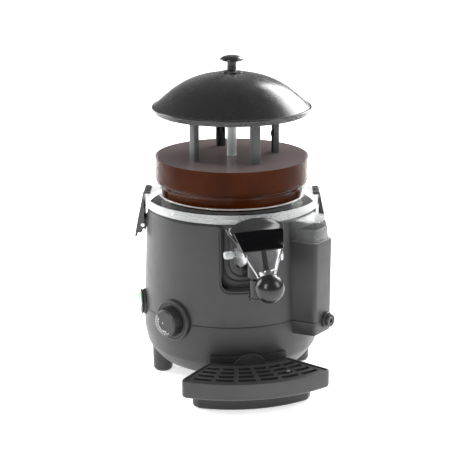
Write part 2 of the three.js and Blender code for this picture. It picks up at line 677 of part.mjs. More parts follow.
// ---------- drip tray ----------
// Tray outline: concentric front and back arcs, slanted sides and softened tips.
function trayOutline(offset) {
  const tip = TRAY_TIP_BEARING - 0.28 * offset;
  const heel = 25.6 - 0.44 * offset;
  const outer = TRAY_FRONT_R - offset;
  const front = arc(outer, -tip + 1.8, tip - 1.8, 20);
  const back = arc(TRAY_BACK_R + offset, heel, -heel, 10);
  const soften = (start, corner, end) => {
    const [a, b, c] = [start, corner, end].map((p) => new THREE.Vector2(...p));
    const along = b.clone().add(c.sub(b).setLength(7));
    return new THREE.QuadraticBezierCurve(a, b, along).getPoints(3).slice(1).map((p) => [p.x, p.y]);
  };
  const [rightCorner] = arc(outer, tip, tip, 1);
  const rightTip = soften(front.at(-1), rightCorner, back[0]);
  const leftTip = rightTip.map(([x, y]) => [-x, y]).reverse();
  return [...front, ...rightTip, ...back, ...leftTip];
}

function makeTray() {
  const shell = prism(trayOutline(0), TRAY_BOTTOM, TRAY_TOP);
  const well = prism(trayOutline(5), TRAY_BOTTOM + 2.6, 49);
  const rebate = prism(trayOutline(3), 48.2, TRAY_TOP + 1);
  const disc = Array.from({ length: 32 }, (_, i) => {
    const turn = (2 * Math.PI * i) / 32;
    return [25.1 * Math.cos(turn), 41.9 + 25.1 * Math.sin(turn)];
  });
  const backWall = ring([[TRAY_BACK_R + 0.2, 46], [136.8, 46], [136.8, 68], [TRAY_BACK_R + 0.2, 68]], 96);
  return join(cut(shell, well, rebate), common(backWall, prismFront(disc, 120, 140)));
}

function makeGrille() {
  const slots = [];
  for (let row = 0; row < 4; row += 1) {
    const radius = 151 + 13.6 * row;
    const reach = 25 + 0.9 * row;
    for (let column = 0; column < 6; column += 1) {
      const from = -reach + (column * 2 * reach) / 6 + 0.9;
      const to = from + reach / 3 - 1.8;
      slots.push(prism([...arc(radius + 3.6, from, to, 2), ...arc(radius - 3.6, to, from, 2)], 40, 60));
    }
  }
  return cut(prism(trayOutline(3.4), 48.6, 50.6), ...slots);
}

function makeTraySupport() {
  const side = PLINTH_HALF_WIDTH;
  const plinth = prism([...arc(PLINTH_FRONT_R, -26, 26, 14), [side, -151], [side - 3, -126], [3 - side, -126],
    [-side, -151]], 0, TRAY_BOTTOM - GAP);
  const shelf = block([-55, 55], [-133, -92], [14, 21.4]);
  const backWall = common(
    ring([[129.6, 14], [133.4, 14], [133.4, 62], [129.6, 62]], 96),
    block([-55, 55], [-140, -100], [14, 62]));
  const footClearance = cylinderZ(FOOT_TOP_R + 1.5, 0, 60, 24).translate(0, -FOOT_RING_R, 0);
  return cut(join(plinth, shelf, backWall), bodyEnvelope(0.5), footClearance);
}

addFeet();
piece('base_housing', makeBaseHousing(), blackPlastic);
piece('upper_housing', makeUpperHousing(), blackPlastic);
piece('tap_recess_panel', makeRecessPanel(), blackPlastic);
addDrive();
addPlumbing();
addBowlAndLid();
addLatch('left');
addLatch('right');
addDial();
addSwitch();
addWaterBox();
addTap();
piece('tray_support', makeTraySupport(), blackPlastic);
piece('drip_tray', makeTray(), blackPlastic);
piece('drip_grille', makeGrille(), blackPlastic);

// Puts the origin at the bottom centre of the whole object's box.
const extent = new THREE.Box3().setFromObject(dispenser, true);
dispenser.position.y = -(extent.min.y + extent.max.y) / 2;

export default dispenser;
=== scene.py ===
# Looks of a countertop bain-marie dispenser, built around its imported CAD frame.
# Shapes are drawn in millimetres about the body's own axis (X = Y = 0, front towards -Y, counter at
# Z = 0). Each finished mesh is then put into the frame, in metres.
import math

import bmesh
import bpy
from mathutils import Matrix, Vector


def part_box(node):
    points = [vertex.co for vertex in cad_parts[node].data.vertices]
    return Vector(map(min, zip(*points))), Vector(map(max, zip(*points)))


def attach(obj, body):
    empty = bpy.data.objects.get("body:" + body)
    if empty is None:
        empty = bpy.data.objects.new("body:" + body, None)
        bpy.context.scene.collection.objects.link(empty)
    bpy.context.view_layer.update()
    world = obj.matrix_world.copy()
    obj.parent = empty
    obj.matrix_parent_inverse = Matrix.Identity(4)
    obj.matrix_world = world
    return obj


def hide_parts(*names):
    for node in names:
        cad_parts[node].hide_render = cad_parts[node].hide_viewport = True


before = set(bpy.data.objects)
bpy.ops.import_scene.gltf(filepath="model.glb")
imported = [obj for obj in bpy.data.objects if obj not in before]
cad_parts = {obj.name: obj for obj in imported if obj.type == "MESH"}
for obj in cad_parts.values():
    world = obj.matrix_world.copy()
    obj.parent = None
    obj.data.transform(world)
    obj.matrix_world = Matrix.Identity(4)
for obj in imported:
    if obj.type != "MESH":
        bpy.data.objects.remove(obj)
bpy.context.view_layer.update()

# ---------- driving dimensions, in millimetres ----------
MM = 0.001
knob_low, knob_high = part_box("lid_knob")
AXIS = (knob_low + knob_high) / 2
TO_FRAME = Matrix.Translation((AXIS.x, AXIS.y, 0)) @ Matrix.Scale(MM, 4)


def height_of(node, side):
    """Lowest (0) or highest (1) height of a CAD node, in millimetres."""
    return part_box(node)[side].z / MM


SEGMENTS = 160
FINE = 192  # segments of the bowl and the lid, whose outlines show most
SEAM = height_of("base_housing", 1)
DECK = height_of("upper_housing", 1)
BODY_BOTTOM = height_of("base_housing", 0)
FLANGE_BOTTOM = height_of("bowl", 0)
BOWL_TOP = height_of("bowl", 1)
TOTAL_HEIGHT = height_of("lid_knob", 1)
TRAY_BOTTOM = height_of("drip_tray", 0)
GRILLE_TOP = height_of("drip_grille", 1)
COVER_BOTTOM = height_of("reservoir_cover", 0)
COVER_TOP = height_of("reservoir_cover", 1)
BOX_BOTTOM = 83
BOX_CORNERS = [(45.2, -95.5), (94, -130), (125, -101), (94.4, -49.4)]
LIQUID_LEVEL = 321
BLADE_ANGLES = (5, 94, 205, 289)
FOOT_RING = 104
RECESS_HALF = 41
RECESS_BOTTOM = 152
RECESS_BACK = 109.2
VALVE_RADIUS = 155
VALVE_BEARING = 2
HANDLE_YAW = 10
TRAY_FRONT, TRAY_BACK, TRAY_TIP = 208, 134, 31
DIAL_BEARING, DIAL_Z = -51, 104.5
SWITCH_BEARING, SWITCH_Z = -93, 105
LATCH_BEARINGS = {"left": -102, "right": 78}
LATCH_PIN = (128.5, 221)
DRAIN_AT = (115, -110.3, 101)
GLAND_BEARING, GLAND_Z = 180, 70
PIN_HOLE = 3.6

BODY_SKIN = [
    (BODY_BOTTOM, 96), (25, 106), (30, 112), (37, 117.5), (43, 121.4), (48, 124.3), (57.6, 126.5),
    (67, 128.3), (77, 129), (95, 129), (103, 128.3), (137, 127.3), (160, 126.3), (197, 124.7), (247, 122),
]


def skin_radius(height):
    """Outer radius of the two housings at a height."""
    for (z0, r0), (z1, r1) in zip(BODY_SKIN, BODY_SKIN[1:]):
        if height <= z1:
            return r0 + (r1 - r0) * max(0, height - z0) / (z1 - z0)
    return BODY_SKIN[-1][1]


# ---------- outlines ----------
def bend(start, corner, end, t):
    """Point at t on the curve that rounds a corner."""
    return tuple((1 - t) ** 2 * start + 2 * t * (1 - t) * corner + t * t * end)


def fillet(points, radius, closed=True, steps=5):
    """Rounds an outline's corners. A point may carry its own radius as a third value."""
    rounded = []
    for i, point in enumerate(points):
        reach = point[2] if len(point) > 2 else radius
        at = Vector(point[:2])
        if reach == 0 or (not closed and i in (0, len(points) - 1)):
            rounded.append(tuple(at))
            continue
        before = Vector(points[i - 1][:2]) - at
        after = Vector(points[(i + 1) % len(points)][:2]) - at
        corner = before.angle(after)
        if corner > math.radians(177):
            rounded.append(tuple(at))
            continue
        reach = min(reach / math.tan(corner / 2), 0.45 * before.length, 0.45 * after.length)
        start = at + before.normalized() * reach
        end = at + after.normalized() * reach
        rounded += [bend(start, at, end, k / steps) for k in range(steps + 1)]
    return rounded


def flowing(points, steps=6):
    """Smooth open curve through points of any dimension (Catmull-Rom)."""
    ends = [points[0], *points, points[-1]]
    curve = []
    for p0, p1, p2, p3 in zip(ends, ends[1:], ends[2:], ends[3:]):
        for k in range(steps):
            t = k / steps
            curve.append(tuple(
                0.5 * (2 * b + (c - a) * t + (2 * a - 5 * b + 4 * c - d) * t ** 2
                       + (3 * b - a - 3 * c + d) * t ** 3)
                for a, b, c, d in zip(p0, p1, p2, p3)))
    return [*curve, tuple(points[-1])]


def inset(outline, distance):
    """Moves every edge of an anticlockwise outline inwards."""
    if distance == 0:
        return list(outline)
    moved = []
    for i, point in enumerate(outline):
        at = Vector(point)
        into = (at - Vector(outline[i - 1])).normalized()
        out = (Vector(outline[(i + 1) % len(outline)]) - at).normalized()
        normal = Vector((-into.y - out.y, into.x + out.x)).normalized()
        moved.append(tuple(at + normal * distance / max(0.3, normal.dot(Vector((-into.y, into.x))))))
    return moved


def on_cylinder(outline, radius):
    """Lays an X-Z outline on the front of an upright cylinder."""
    return [(x, -math.sqrt(radius ** 2 - x * x), z) for x, z in outline]


def arc(radius, start, end, steps):
    """Points about the body's axis. Bearing 0 is the front, and it grows towards +X."""
    bearings = [math.radians(start + (end - start) * i / steps) for i in range(steps + 1)]
    return [(radius * math.sin(b), -radius * math.cos(b)) for b in bearings]


def circle(radius, steps, centre=(0, 0)):
    turns = [2 * math.pi * i / steps for i in range(steps)]
    return [(centre[0] + radius * math.cos(t), centre[1] + radius * math.sin(t)) for t in turns]


# ---------- solids, each a (vertices, faces) pair ----------
def lathe(profile, segments=SEGMENTS):
    """Solid of revolution about Z from a closed loop of [radius, height]."""
    vertices, rings = [], []
    for radius, height in profile:
        if radius < 1e-6:
            rings.append([len(vertices)])
            vertices.append((0, 0, height))
            continue
        rings.append(list(range(len(vertices), len(vertices) + segments)))
        vertices += [(x, y, height) for x, y in circle(radius, segments)]
    faces = []
    for a, b in zip(rings, rings[1:] + rings[:1]):
        if len(a) == len(b) == 1:
            continue
        for i in range(segments):
            j = (i + 1) % segments
            corners = [a[i % len(a)], a[j % len(a)], b[j % len(b)], b[i % len(b)]]
            faces.append(list(dict.fromkeys(corners)))
    return vertices, faces


def column(radius, low=0, high=300, segments=SEGMENTS):
    return lathe([(0, low), (radius, low), (radius, high), (0, high)], segments)


def loft(layers, caps=True):
    """Skin over a stack of closed outlines that all have as many 3-D points."""
    count = len(layers[0])
    vertices = [point for layer in layers for point in layer]
    faces = []
    for level in range(len(layers) - 1):
        for i in range(count):
            j = (i + 1) % count
            low, high = level * count, (level + 1) * count
            faces.append([low + i, low + j, high + j, high + i])
    if caps:
        faces.append(list(reversed(range(count))))
        faces.append(list(range(len(vertices) - count, len(vertices))))
    return vertices, faces


def slab(outline, low, high, edge=0.8, low_edge=None, steps=4):
    """Prism along Z with rounded edges."""
    low_edge = edge if low_edge is None else low_edge
    layers = []
    for k in range(steps + 1):
        turn = math.pi / 2 * k / steps
        layers.append((low_edge * (1 - math.sin(turn)), low + low_edge * (1 - math.cos(turn))))
    for k in range(steps, -1, -1):
        turn = math.pi / 2 * k / steps
        layers.append((edge * (1 - math.sin(turn)), high - edge * (1 - math.cos(turn))))
    return loft([[(x, y, z) for x, y in inset(outline, distance)] for distance, z in layers])


def box(x, y, z, edge=0.4):
    outline = [(x[0], y[0]), (x[1], y[0]), (x[1], y[1]), (x[0], y[1])]
    return slab(fillet(outline, edge, steps=3), z[0], z[1], edge, steps=3)


def sweep(path, radius, closed=False, sides=10, flat=1.0):
    """Round tube along a 3-D path. Its ends are closed with flat caps."""
    points = [Vector(p) for p in path]
    layers, up = [], Vector((0, 0, 1))
    for i, point in enumerate(points):
        before = points[i - 1] if closed or i else point
        after = points[(i + 1) % len(points)] if closed or i < len(points) - 1 else point
        along = (after - before).normalized()
        side = along.cross(up)
        side = side.normalized() if side.length > 0.1 else along.cross(Vector((0, 1, 0))).normalized()
        over = side.cross(along)
        layers.append([
            tuple(point + side * (x * flat) + over * y) for x, y in circle(radius, sides)])
    if closed:
        return loft([*layers, layers[0]], caps=False)
    return loft(layers)


def move(shape, matrix):
    return [tuple(matrix @ Vector(v)) for v in shape[0]], shape[1]


def shift(shape, x=0, y=0, z=0):
    return move(shape, Matrix.Translation((x, y, z)))


def turn(shape, degrees, axis="Z"):
    return move(shape, Matrix.Rotation(math.radians(degrees), 4, axis))


def merge(*shapes):
    vertices, faces = [], []
    for more, polygons in shapes:
        faces += [[i + len(vertices) for i in polygon] for polygon in polygons]
        vertices += more
    return vertices, faces


TO_X = Matrix.Rotation(math.pi / 2, 4, "Y")  # turns a solid along +Z so that it lies along +X
SIDEWAYS = Matrix(((0, 0, 1, 0), (1, 0, 0, 0), (0, 1, 0, 0), (0, 0, 0, 1)))  # outline in Y-Z, along X
FRONTWAYS = Matrix.Rotation(math.pi / 2, 4, "X")  # outline in X-Z, along -Y


def facing(bearing, height=0):
    """Frame whose +X points straight out of the body."""
    return Matrix.Translation((0, 0, height)) @ Matrix.Rotation(math.radians(bearing - 90), 4, "Z")


# ---------- mesh objects ----------
def raw_mesh(name, shape):
    mesh = bpy.data.meshes.new(name)
    mesh.from_pydata([tuple(v) for v in shape[0]], [], [list(f) for f in shape[1]])
    work = bmesh.new()
    work.from_mesh(mesh)
    bmesh.ops.remove_doubles(work, verts=work.verts, dist=1e-4)
    bmesh.ops.recalc_face_normals(work, faces=work.faces)
    work.to_mesh(mesh)
    work.free()
    return mesh


def evaluated(thing, helpers=()):
    """Applies an object's modifiers, and gives its shape back."""
    thing.data.name = "done"
    graph = bpy.context.evaluated_depsgraph_get()
    mesh = bpy.data.meshes.new_from_object(thing.evaluated_get(graph))
    shape = [tuple(v.co) for v in mesh.vertices], [list(p.vertices) for p in mesh.polygons]
    for spent in [thing, *helpers]:
        bpy.data.objects.remove(spent)
    bpy.data.meshes.remove(mesh)
    return shape


def scratch(shape):
    thing = bpy.data.objects.new("scratch", raw_mesh("scratch", shape))
    bpy.context.scene.collection.objects.link(thing)
    return thing


def combine(operation, shape, tools):
    base = scratch(shape)
    helpers = [scratch(tool) for tool in tools]
    for helper in helpers:
        step = base.modifiers.new("cut", "BOOLEAN")
        step.operation = operation
        step.solver = "MANIFOLD"
        step.object = helper
    return evaluated(base, helpers)


def cut(shape, *tools):
    return combine("DIFFERENCE", shape, tools)


def fuse(shape, *tools):
    return combine("UNION", shape, tools)


def common(shape, *tools):
    return combine("INTERSECT", shape, tools)


def piece(name, shape, material, body="root", replaces=(), sharp=32):
    mesh = raw_mesh(name, shape)
    mesh.transform(TO_FRAME)
    mesh.polygons.foreach_set("use_smooth", [True] * len(mesh.polygons))
    mesh.set_sharp_from_angle(angle=math.radians(sharp))
    mesh.materials.append(material)
    thing = bpy.data.objects.new(name, mesh)
    bpy.context.scene.collection.objects.link(thing)
    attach(thing, body)
    if replaces:
        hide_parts(*replaces)
    return thing


# ---------- materials ----------
class Surface:
    """A Principled material, with helpers for the nodes that feed it."""

    def __init__(self, name, colour, roughness, **constants):
        self.material = bpy.data.materials.new(name)
        self.material.use_nodes = True
        self.tree = self.material.node_tree
        self.shader = self.tree.nodes["Principled BSDF"]
        self.shader.inputs["Base Color"].default_value = (*colour, 1)
        self.shader.inputs["Roughness"].default_value = roughness
        for socket, value in constants.items():
            self.shader.inputs[socket.replace("_", " ")].default_value = value
        self.place = self.tree.nodes.new("ShaderNodeTexCoord").outputs["Object"]

    def link(self, value, socket):
        if isinstance(value, bpy.types.NodeSocket):
            self.tree.links.new(value, socket)
        else:
            socket.default_value = value

    def noise(self, scale, detail=3.0, stretch=(1, 1, 1)):
        mapping = self.tree.nodes.new("ShaderNodeMapping")
        mapping.inputs["Scale"].default_value = stretch
        self.tree.links.new(self.place, mapping.inputs["Vector"])
        texture = self.tree.nodes.new("ShaderNodeTexNoise")
        texture.inputs["Scale"].default_value = scale
        texture.inputs["Detail"].default_value = detail
        self.tree.links.new(mapping.outputs["Vector"], texture.inputs["Vector"])
        return texture.outputs["Fac"]

    def between(self, value, low, high, start=0.3, end=0.7):
        """Maps a value from start..end to low..high."""
        node = self.tree.nodes.new("ShaderNodeMapRange")
        for socket, number in zip(node.inputs[1:5], (start, end, low, high)):
            socket.default_value = number
        self.tree.links.new(value, node.inputs["Value"])
        return node.outputs["Result"]

    def along(self, vector, axis):
        """One component of a vector."""
        node = self.tree.nodes.new("ShaderNodeSeparateXYZ")
        self.tree.links.new(vector, node.inputs["Vector"])
        return node.outputs[axis]

    def blend(self, value, first, second):
        """Mixes two colours by a value. Each is three numbers or a socket."""
        node = self.tree.nodes.new("ShaderNodeMix")
        node.data_type = "RGBA"
        self.tree.links.new(value, node.inputs["Factor"])
        for colour, socket in zip((first, second), node.inputs[6:8]):
            self.link((*colour, 1) if isinstance(colour, tuple) else colour, socket)
        return node.outputs[2]

    def bump(self, height, strength, distance):
        node = self.tree.nodes.new("ShaderNodeBump")
        node.inputs["Strength"].default_value = strength
        node.inputs["Distance"].default_value = distance
        self.tree.links.new(height, node.inputs["Height"])
        self.tree.links.new(node.outputs["Normal"], self.shader.inputs["Normal"])

    def feed(self, socket, value):
        self.link(value, self.shader.inputs[socket])


def moulded(name, dark, light, roughness, pebble=0.12, sheen=0.12):
    """Injection-moulded plastic: a fine pebble, slow drifts of colour and of gloss."""
    surface = Surface(name, dark, roughness)
    drift = surface.noise(14, 2)
    surface.feed("Base Color", surface.blend(surface.between(drift, 0, 1), dark, light))
    surface.feed("Roughness", surface.between(surface.noise(60, 4), roughness - 0.04, roughness + 0.05))
    surface.bump(surface.noise(1500, 2), pebble, 0.0002)
    surface.feed("Sheen Weight", sheen)
    surface.feed("Sheen Roughness", 0.35)
    return surface.material


def polished(name, colour, roughness, haze=0.04, ior=1.5):
    """Glossy plastic with a very slight orange peel and faint smears."""
    surface = Surface(name, colour, roughness, IOR=ior)
    smear = surface.noise(35, 5, (1, 1, 3))
    surface.feed("Roughness", surface.between(smear, roughness, roughness + haze))
    surface.bump(surface.noise(140, 1), 0.03, 0.0003)
    return surface.material


def clear(name, colour, thin, thick, roughness=0.03, start=0.25, end=0.98):
    """Clear plastic: nearly invisible face on, and milky where it is seen edge on."""
    surface = Surface(name, colour, roughness, IOR=1.49, Transmission_Weight=0.25)
    facing_away = surface.tree.nodes.new("ShaderNodeLayerWeight")
    facing_away.inputs["Blend"].default_value = 0.5
    surface.feed("Alpha", surface.between(facing_away.outputs["Facing"], thin, thick, start, end))
    surface.feed("Roughness", surface.between(surface.noise(50, 4), roughness, roughness + 0.05))
    surface.bump(surface.noise(90, 1), 0.02, 0.0004)
    return surface.material


def metal(name, colour, roughness, stretch=(1, 1, 1)):
    surface = Surface(name, colour, roughness, Metallic=1.0)
    grain = surface.noise(400, 3, stretch)
    surface.feed("Roughness", surface.between(grain, roughness - 0.06, roughness + 0.1))
    surface.bump(grain, 0.08, 0.0002)
    return surface.material


def rubber(name):
    surface = Surface(name, (0.012, 0.012, 0.013), 0.75)
    surface.feed("Roughness", surface.between(surface.noise(80, 4), 0.68, 0.85))
    surface.bump(surface.noise(900, 3), 0.25, 0.0003)
    return surface.material


def drink(name):
    """Opaque brown drink, with a painted reflection: its level surface is coloured a lighter grey-brown than its
    darker sides.
    """
    surface = Surface(name, (0.036, 0.007, 0.001), 0.06, IOR=1.36, Specular_IOR_Level=0.1)
    cloud = surface.noise(22, 3, (1, 1, 0.6))
    body = surface.blend(surface.between(cloud, 0, 1), (0.03, 0.0055, 0.0008), (0.045, 0.0095, 0.0014))
    # Painted reflection: where the normal points up, the level surface gets a light grey-brown in place of the
    # reflection on the drink's top.
    normal = surface.tree.nodes.new("ShaderNodeTexCoord").outputs["Normal"]
    level = surface.between(surface.along(normal, "Z"), 0, 1, 0.8, 0.95)
    surface.feed("Base Color", surface.blend(level, body, (0.15, 0.12, 0.118)))
    surface.feed("Roughness", surface.between(surface.noise(40, 3), 0.05, 0.09))
    return surface.material


def shell_painted_reflection(name, split):
    """Dark grey above a height, and bright satin grey metal below it: a painted reflection, standing in for the
    white floor's reflection in the black shell's lower part.
    """
    surface = Surface(name, (0.03, 0.03, 0.031), 0.2, IOR=1.6)
    height = surface.along(surface.place, "Z")
    # Painted reflection: below the split the shell turns bright and metallic in place of the floor's reflection.
    floor_reflection_mask = surface.between(height, 1, 0, split - 0.0003, split + 0.0003)
    surface.feed("Base Color", surface.blend(floor_reflection_mask, (0.03, 0.03, 0.031), (0.42, 0.42, 0.43)))
    surface.feed("Metallic", surface.between(floor_reflection_mask, 0, 0.85, 0, 1))
    grain = surface.noise(120, 4)
    surface.feed("Roughness", surface.between(grain, 0.14, 0.22))
    surface.bump(grain, 0.03, 0.0003)
    return surface.material


HOUSING = moulded("housing_plastic", (0.023, 0.023, 0.024), (0.029, 0.029, 0.03), 0.42)
TRAY_PLASTIC = moulded("tray_plastic", (0.022, 0.022, 0.0225), (0.028, 0.028, 0.0285), 0.36, 0.08)
LID_PLASTIC = moulded("lid_plastic", (0.013, 0.013, 0.0135), (0.015, 0.015, 0.0155), 0.24, 0.02, 0.25)
SATIN = moulded("satin_black", (0.035, 0.035, 0.036), (0.045, 0.045, 0.046), 0.26, 0.05, 0.3)
BRACKET = moulded("bracket_plastic", (0.01, 0.01, 0.0105), (0.014, 0.014, 0.0145), 0.4, 0.08)
GLOSS = polished("gloss_black", (0.006, 0.006, 0.0065), 0.12)
SHELL = shell_painted_reflection("lever_shell", 0.2285)
PLATE = polished("plate_black", (0.0035, 0.0035, 0.004), 0.04)
BALL = polished("ball_black", (0.012, 0.012, 0.0125), 0.24)
MATT_BLACK = moulded("matt_black", (0.004, 0.004, 0.004), (0.006, 0.006, 0.006), 0.7)
CLEAR = clear("clear_bowl", (0.8, 0.82, 0.82), 0.0, 0.4, 0.03, 0.68, 1.0)
# Clear plastic made milky even face on: a painted reflection for the bowl's flange.
FLANGE_PAINTED_REFLECTION = clear("clear_flange_painted_reflection", (0.95, 0.97, 0.97), 0.3, 0.9, 0.06)
CLEAR_COVER = clear("clear_cover", (0.93, 0.95, 0.95), 0.04, 0.75, 0.03, 0.45)
CLEAR_PIN = clear("clear_pin", (0.8, 0.82, 0.82), 0.5, 1.0, 0.08)
STIRRER = moulded("stirrer_plastic", (0.05, 0.053, 0.055), (0.075, 0.079, 0.08), 0.4)
TUBE = clear("stirrer_tube", (0.6, 0.63, 0.63), 0.7, 1.0, 0.1)
STEEL = metal("stainless_steel", (0.62, 0.63, 0.62), 0.28, (1, 1, 12))
ZINC = metal("zinc_steel", (0.5, 0.51, 0.52), 0.4)
BRASS = metal("brass", (0.6, 0.44, 0.18), 0.34)
RUBBER = rubber("black_rubber")
WHITE = moulded("white_plastic", (0.62, 0.62, 0.6), (0.7, 0.7, 0.68), 0.4)
PRINT = moulded("white_print", (0.75, 0.75, 0.75), (0.82, 0.82, 0.82), 0.5)
DRINK_PAINTED_TOP = drink("hot_drink_painted_top")


def green_lens():
    """Translucent green rocker that glows a little from the lamp inside."""
    surface = Surface("green_rocker", (0.66, 0.88, 0.7), 0.2, Emission_Strength=0.2)
    surface.shader.inputs["Emission Color"].default_value = (0.35, 0.8, 0.45, 1)
    surface.feed("Roughness", surface.between(surface.noise(70, 3), 0.16, 0.26))
    surface.bump(surface.noise(300, 2), 0.05, 0.0003)
    return surface.material


GREEN = green_lens()


# ---------- housings ----------
def housing_piece(name, shape, node):
    piece(name, shape, HOUSING, replaces=[node])


def box_outline(offset, radius=7):
    return fillet(inset(BOX_CORNERS, offset), radius - offset / 2, steps=6)


def body_solid(grow=0.0):
    """Solid of both housings, for the pieces that lie against them."""
    outer = [(r + grow, z - (grow if z < 60 else 0)) for z, r in BODY_SKIN]
    return lathe([(0, BODY_BOTTOM - grow), *outer, (0, BODY_SKIN[-1][0])])


def along_wall(shape, bearing, height):
    return move(shape, facing(bearing, height))


def rod(radius, start, end, segments=32, tip=None, edge=0.4):
    """Round bar along +X with softened ends."""
    tip = radius if tip is None else tip
    profile = fillet([(0, start, 0), (radius, start), (tip, end), (0, end, 0)], edge, steps=3)
    return move(lathe(profile, segments), TO_X)


def turned(profile, edge=0.4, segments=64):
    """Solid of revolution about +X, from [radius, distance along X] with softened corners."""
    return move(lathe(fillet(profile, edge, steps=4), segments), TO_X)


def switch_hole():
    return along_wall(box((100, 140), (-10.4, 10.4), (-13.4, 13.4)), SWITCH_BEARING, SWITCH_Z)


def make_base():
    skin = flowing([(r, z) for z, r in BODY_SKIN[:10]], 4)
    outer = [(0, BODY_BOTTOM), (92, BODY_BOTTOM), *skin, *fillet(
        [(129, 97), (128.3, SEAM), (125.3, SEAM)], 0.9, closed=False)[1:]]
    inner = [(125.3, SEAM - 8), (126, 77), (123.6, 58.5), (118.4, 44.5), (109.5, 32.5), (95, 25), (0, 25)]
    water_box = slab(box_outline(0), BOX_BOTTOM, SEAM, 0.5, 2.4)
    hollow = lathe([(0, 25.2), (95, 25.2), (118.2, 44.7), (125.8, 77), (125.1, SEAM + 1), (0, SEAM + 1)], 96)
    shape = cut(
        fuse(lathe([*outer, *inner]), cut(water_box, hollow)),
        slab(box_outline(3), BOX_BOTTOM + 3, SEAM + 2, 0),
        along_wall(rod(6, 100, 140), DIAL_BEARING, DIAL_Z),
        switch_hole(),
        along_wall(rod(7, 110, 140), GLAND_BEARING, GLAND_Z))
    housing_piece("base_shell", shape, "base_housing")


def recess_outline(shrink=0.0):
    half = RECESS_HALF - shrink
    low = RECESS_BOTTOM + shrink
    return fillet([(-half, 300, 0), (-half, low), (half, low), (half, 300, 0)], 17 - shrink, steps=10)


def recess_prism(shrink, start, end):
    return move(slab(recess_outline(shrink), start, end, 0), FRONTWAYS)


def on_front(outline, lift):
    """Lays an X-Z outline on the front of the upper housing."""
    return [(x, -math.sqrt((skin_radius(z) + lift) ** 2 - x * x), z) for x, z in outline]


def make_upper():
    low = SEAM + 0.4
    shell = lathe(fillet([
        (128.3, low, 0.8), (127.3, 137), (126.3, 160), (124.7, 197), (122, 247, 2), (119, DECK, 1),
        (97, DECK, 0.5), (97, 247, 0.5), (118.5, 246.5, 0.5), (121.7, 197), (124.3, 137), (125.3, low, 0.5),
    ], 6))
    core = lathe([(0, low - 2), (125, low - 2), (124, 137), (121.4, 197), (118.2, 246.5), (0, 246.5)], 96)
    box_top = COVER_BOTTOM - 0.4
    water_box = cut(slab(box_outline(0), low, box_top, 0.8, 0.6), core)
    cup_hole = cut(slab(box_outline(4.2), box_top - 8, box_top + 2, 0), column(127))
    shape = cut(
        fuse(shell, water_box),
        slab(box_outline(3), low - 2, box_top - 3, 0),
        cup_hole,
        recess_prism(0, 80, 140),
        along_wall(rod(6, 100, 140), DIAL_BEARING, DIAL_Z),
        switch_hole())
    rim = [(x, z) for x, z in recess_outline(0.3) if z < 300]
    rim = [(-RECESS_HALF + 0.3, 246.5), *rim, (RECESS_HALF - 0.3, 246.5)]
    dense = []
    for (x0, z0), (x1, z1) in zip(rim, rim[1:]):
        parts = max(1, int(math.hypot(x1 - x0, z1 - z0) / 4))
        dense += [(x0 + (x1 - x0) * k / parts, z0 + (z1 - z0) * k / parts) for k in range(parts)]
    lip = sweep(on_front([*dense, rim[-1]], -0.55), 1.0)
    housing_piece("upper_shell", merge(shape, lip), "upper_housing")


def make_recess():
    """Pocket behind the tap, with two raised U-shaped ribs round the spout's root."""
    annulus = lathe([(106, 150), (125.4, 150), (121, 246), (106, 246)])
    pocket = cut(recess_prism(3.4, 100, 140), column(109, 100))
    hole = turn(box((-14.5, 14.5), (-115, -95), (184.5, 207.5)), VALVE_BEARING)
    shape = cut(common(annulus, recess_prism(0.4, 80, 140)), pocket, hole)
    ribs = []
    for half, low in ((31, 166), (25, 172)):
        outline = fillet([(-half, 240, 0), (-half, low), (half, low), (half, 240, 0)], 22, steps=10)
        ribs.append(sweep(on_cylinder(outline, RECESS_BACK), 1.5))
    seat = on_cylinder([(x, z) for x, z in recess_outline(4.4) if z < 240], RECESS_BACK)
    housing_piece("tap_recess", merge(shape, *ribs, sweep(seat, 1.0)), "tap_recess_panel")


def make_feet():
    skin = body_solid(0.4)
    for name, bearing in {"front": 0, "right": 90, "rear": 180, "left": 270}.items():
        x, y = arc(FOOT_RING, bearing, bearing, 1)[0]
        profile = fillet([
            (5, 0), (11.6, 0, 0.6), (14, 3.2, 1.2), (15.4, 50, 0.5), (2.6, 50, 0.4), (2.6, 8, 0.2),
            (5, 8, 0.2)], 0.4)
        leg = cut(shift(lathe(profile, 48), x, y), skin)
        housing_piece(f"foot_{name}_leg", leg, f"foot_{name}")
        head = lathe(fillet([(0, 4.4, 0), (4.4, 4.4), (4.4, 7.6), (2.2, 7.6, 0.1), (2.2, 33), (0, 33, 0)], 0.4), 24)
        socket = slab(circle(1.9, 6), 3, 6, 0)
        screw = shift(cut(head, socket), x, y)
        piece(f"foot_{name}_bolt", screw, ZINC, replaces=[f"foot_{name}_screw"])


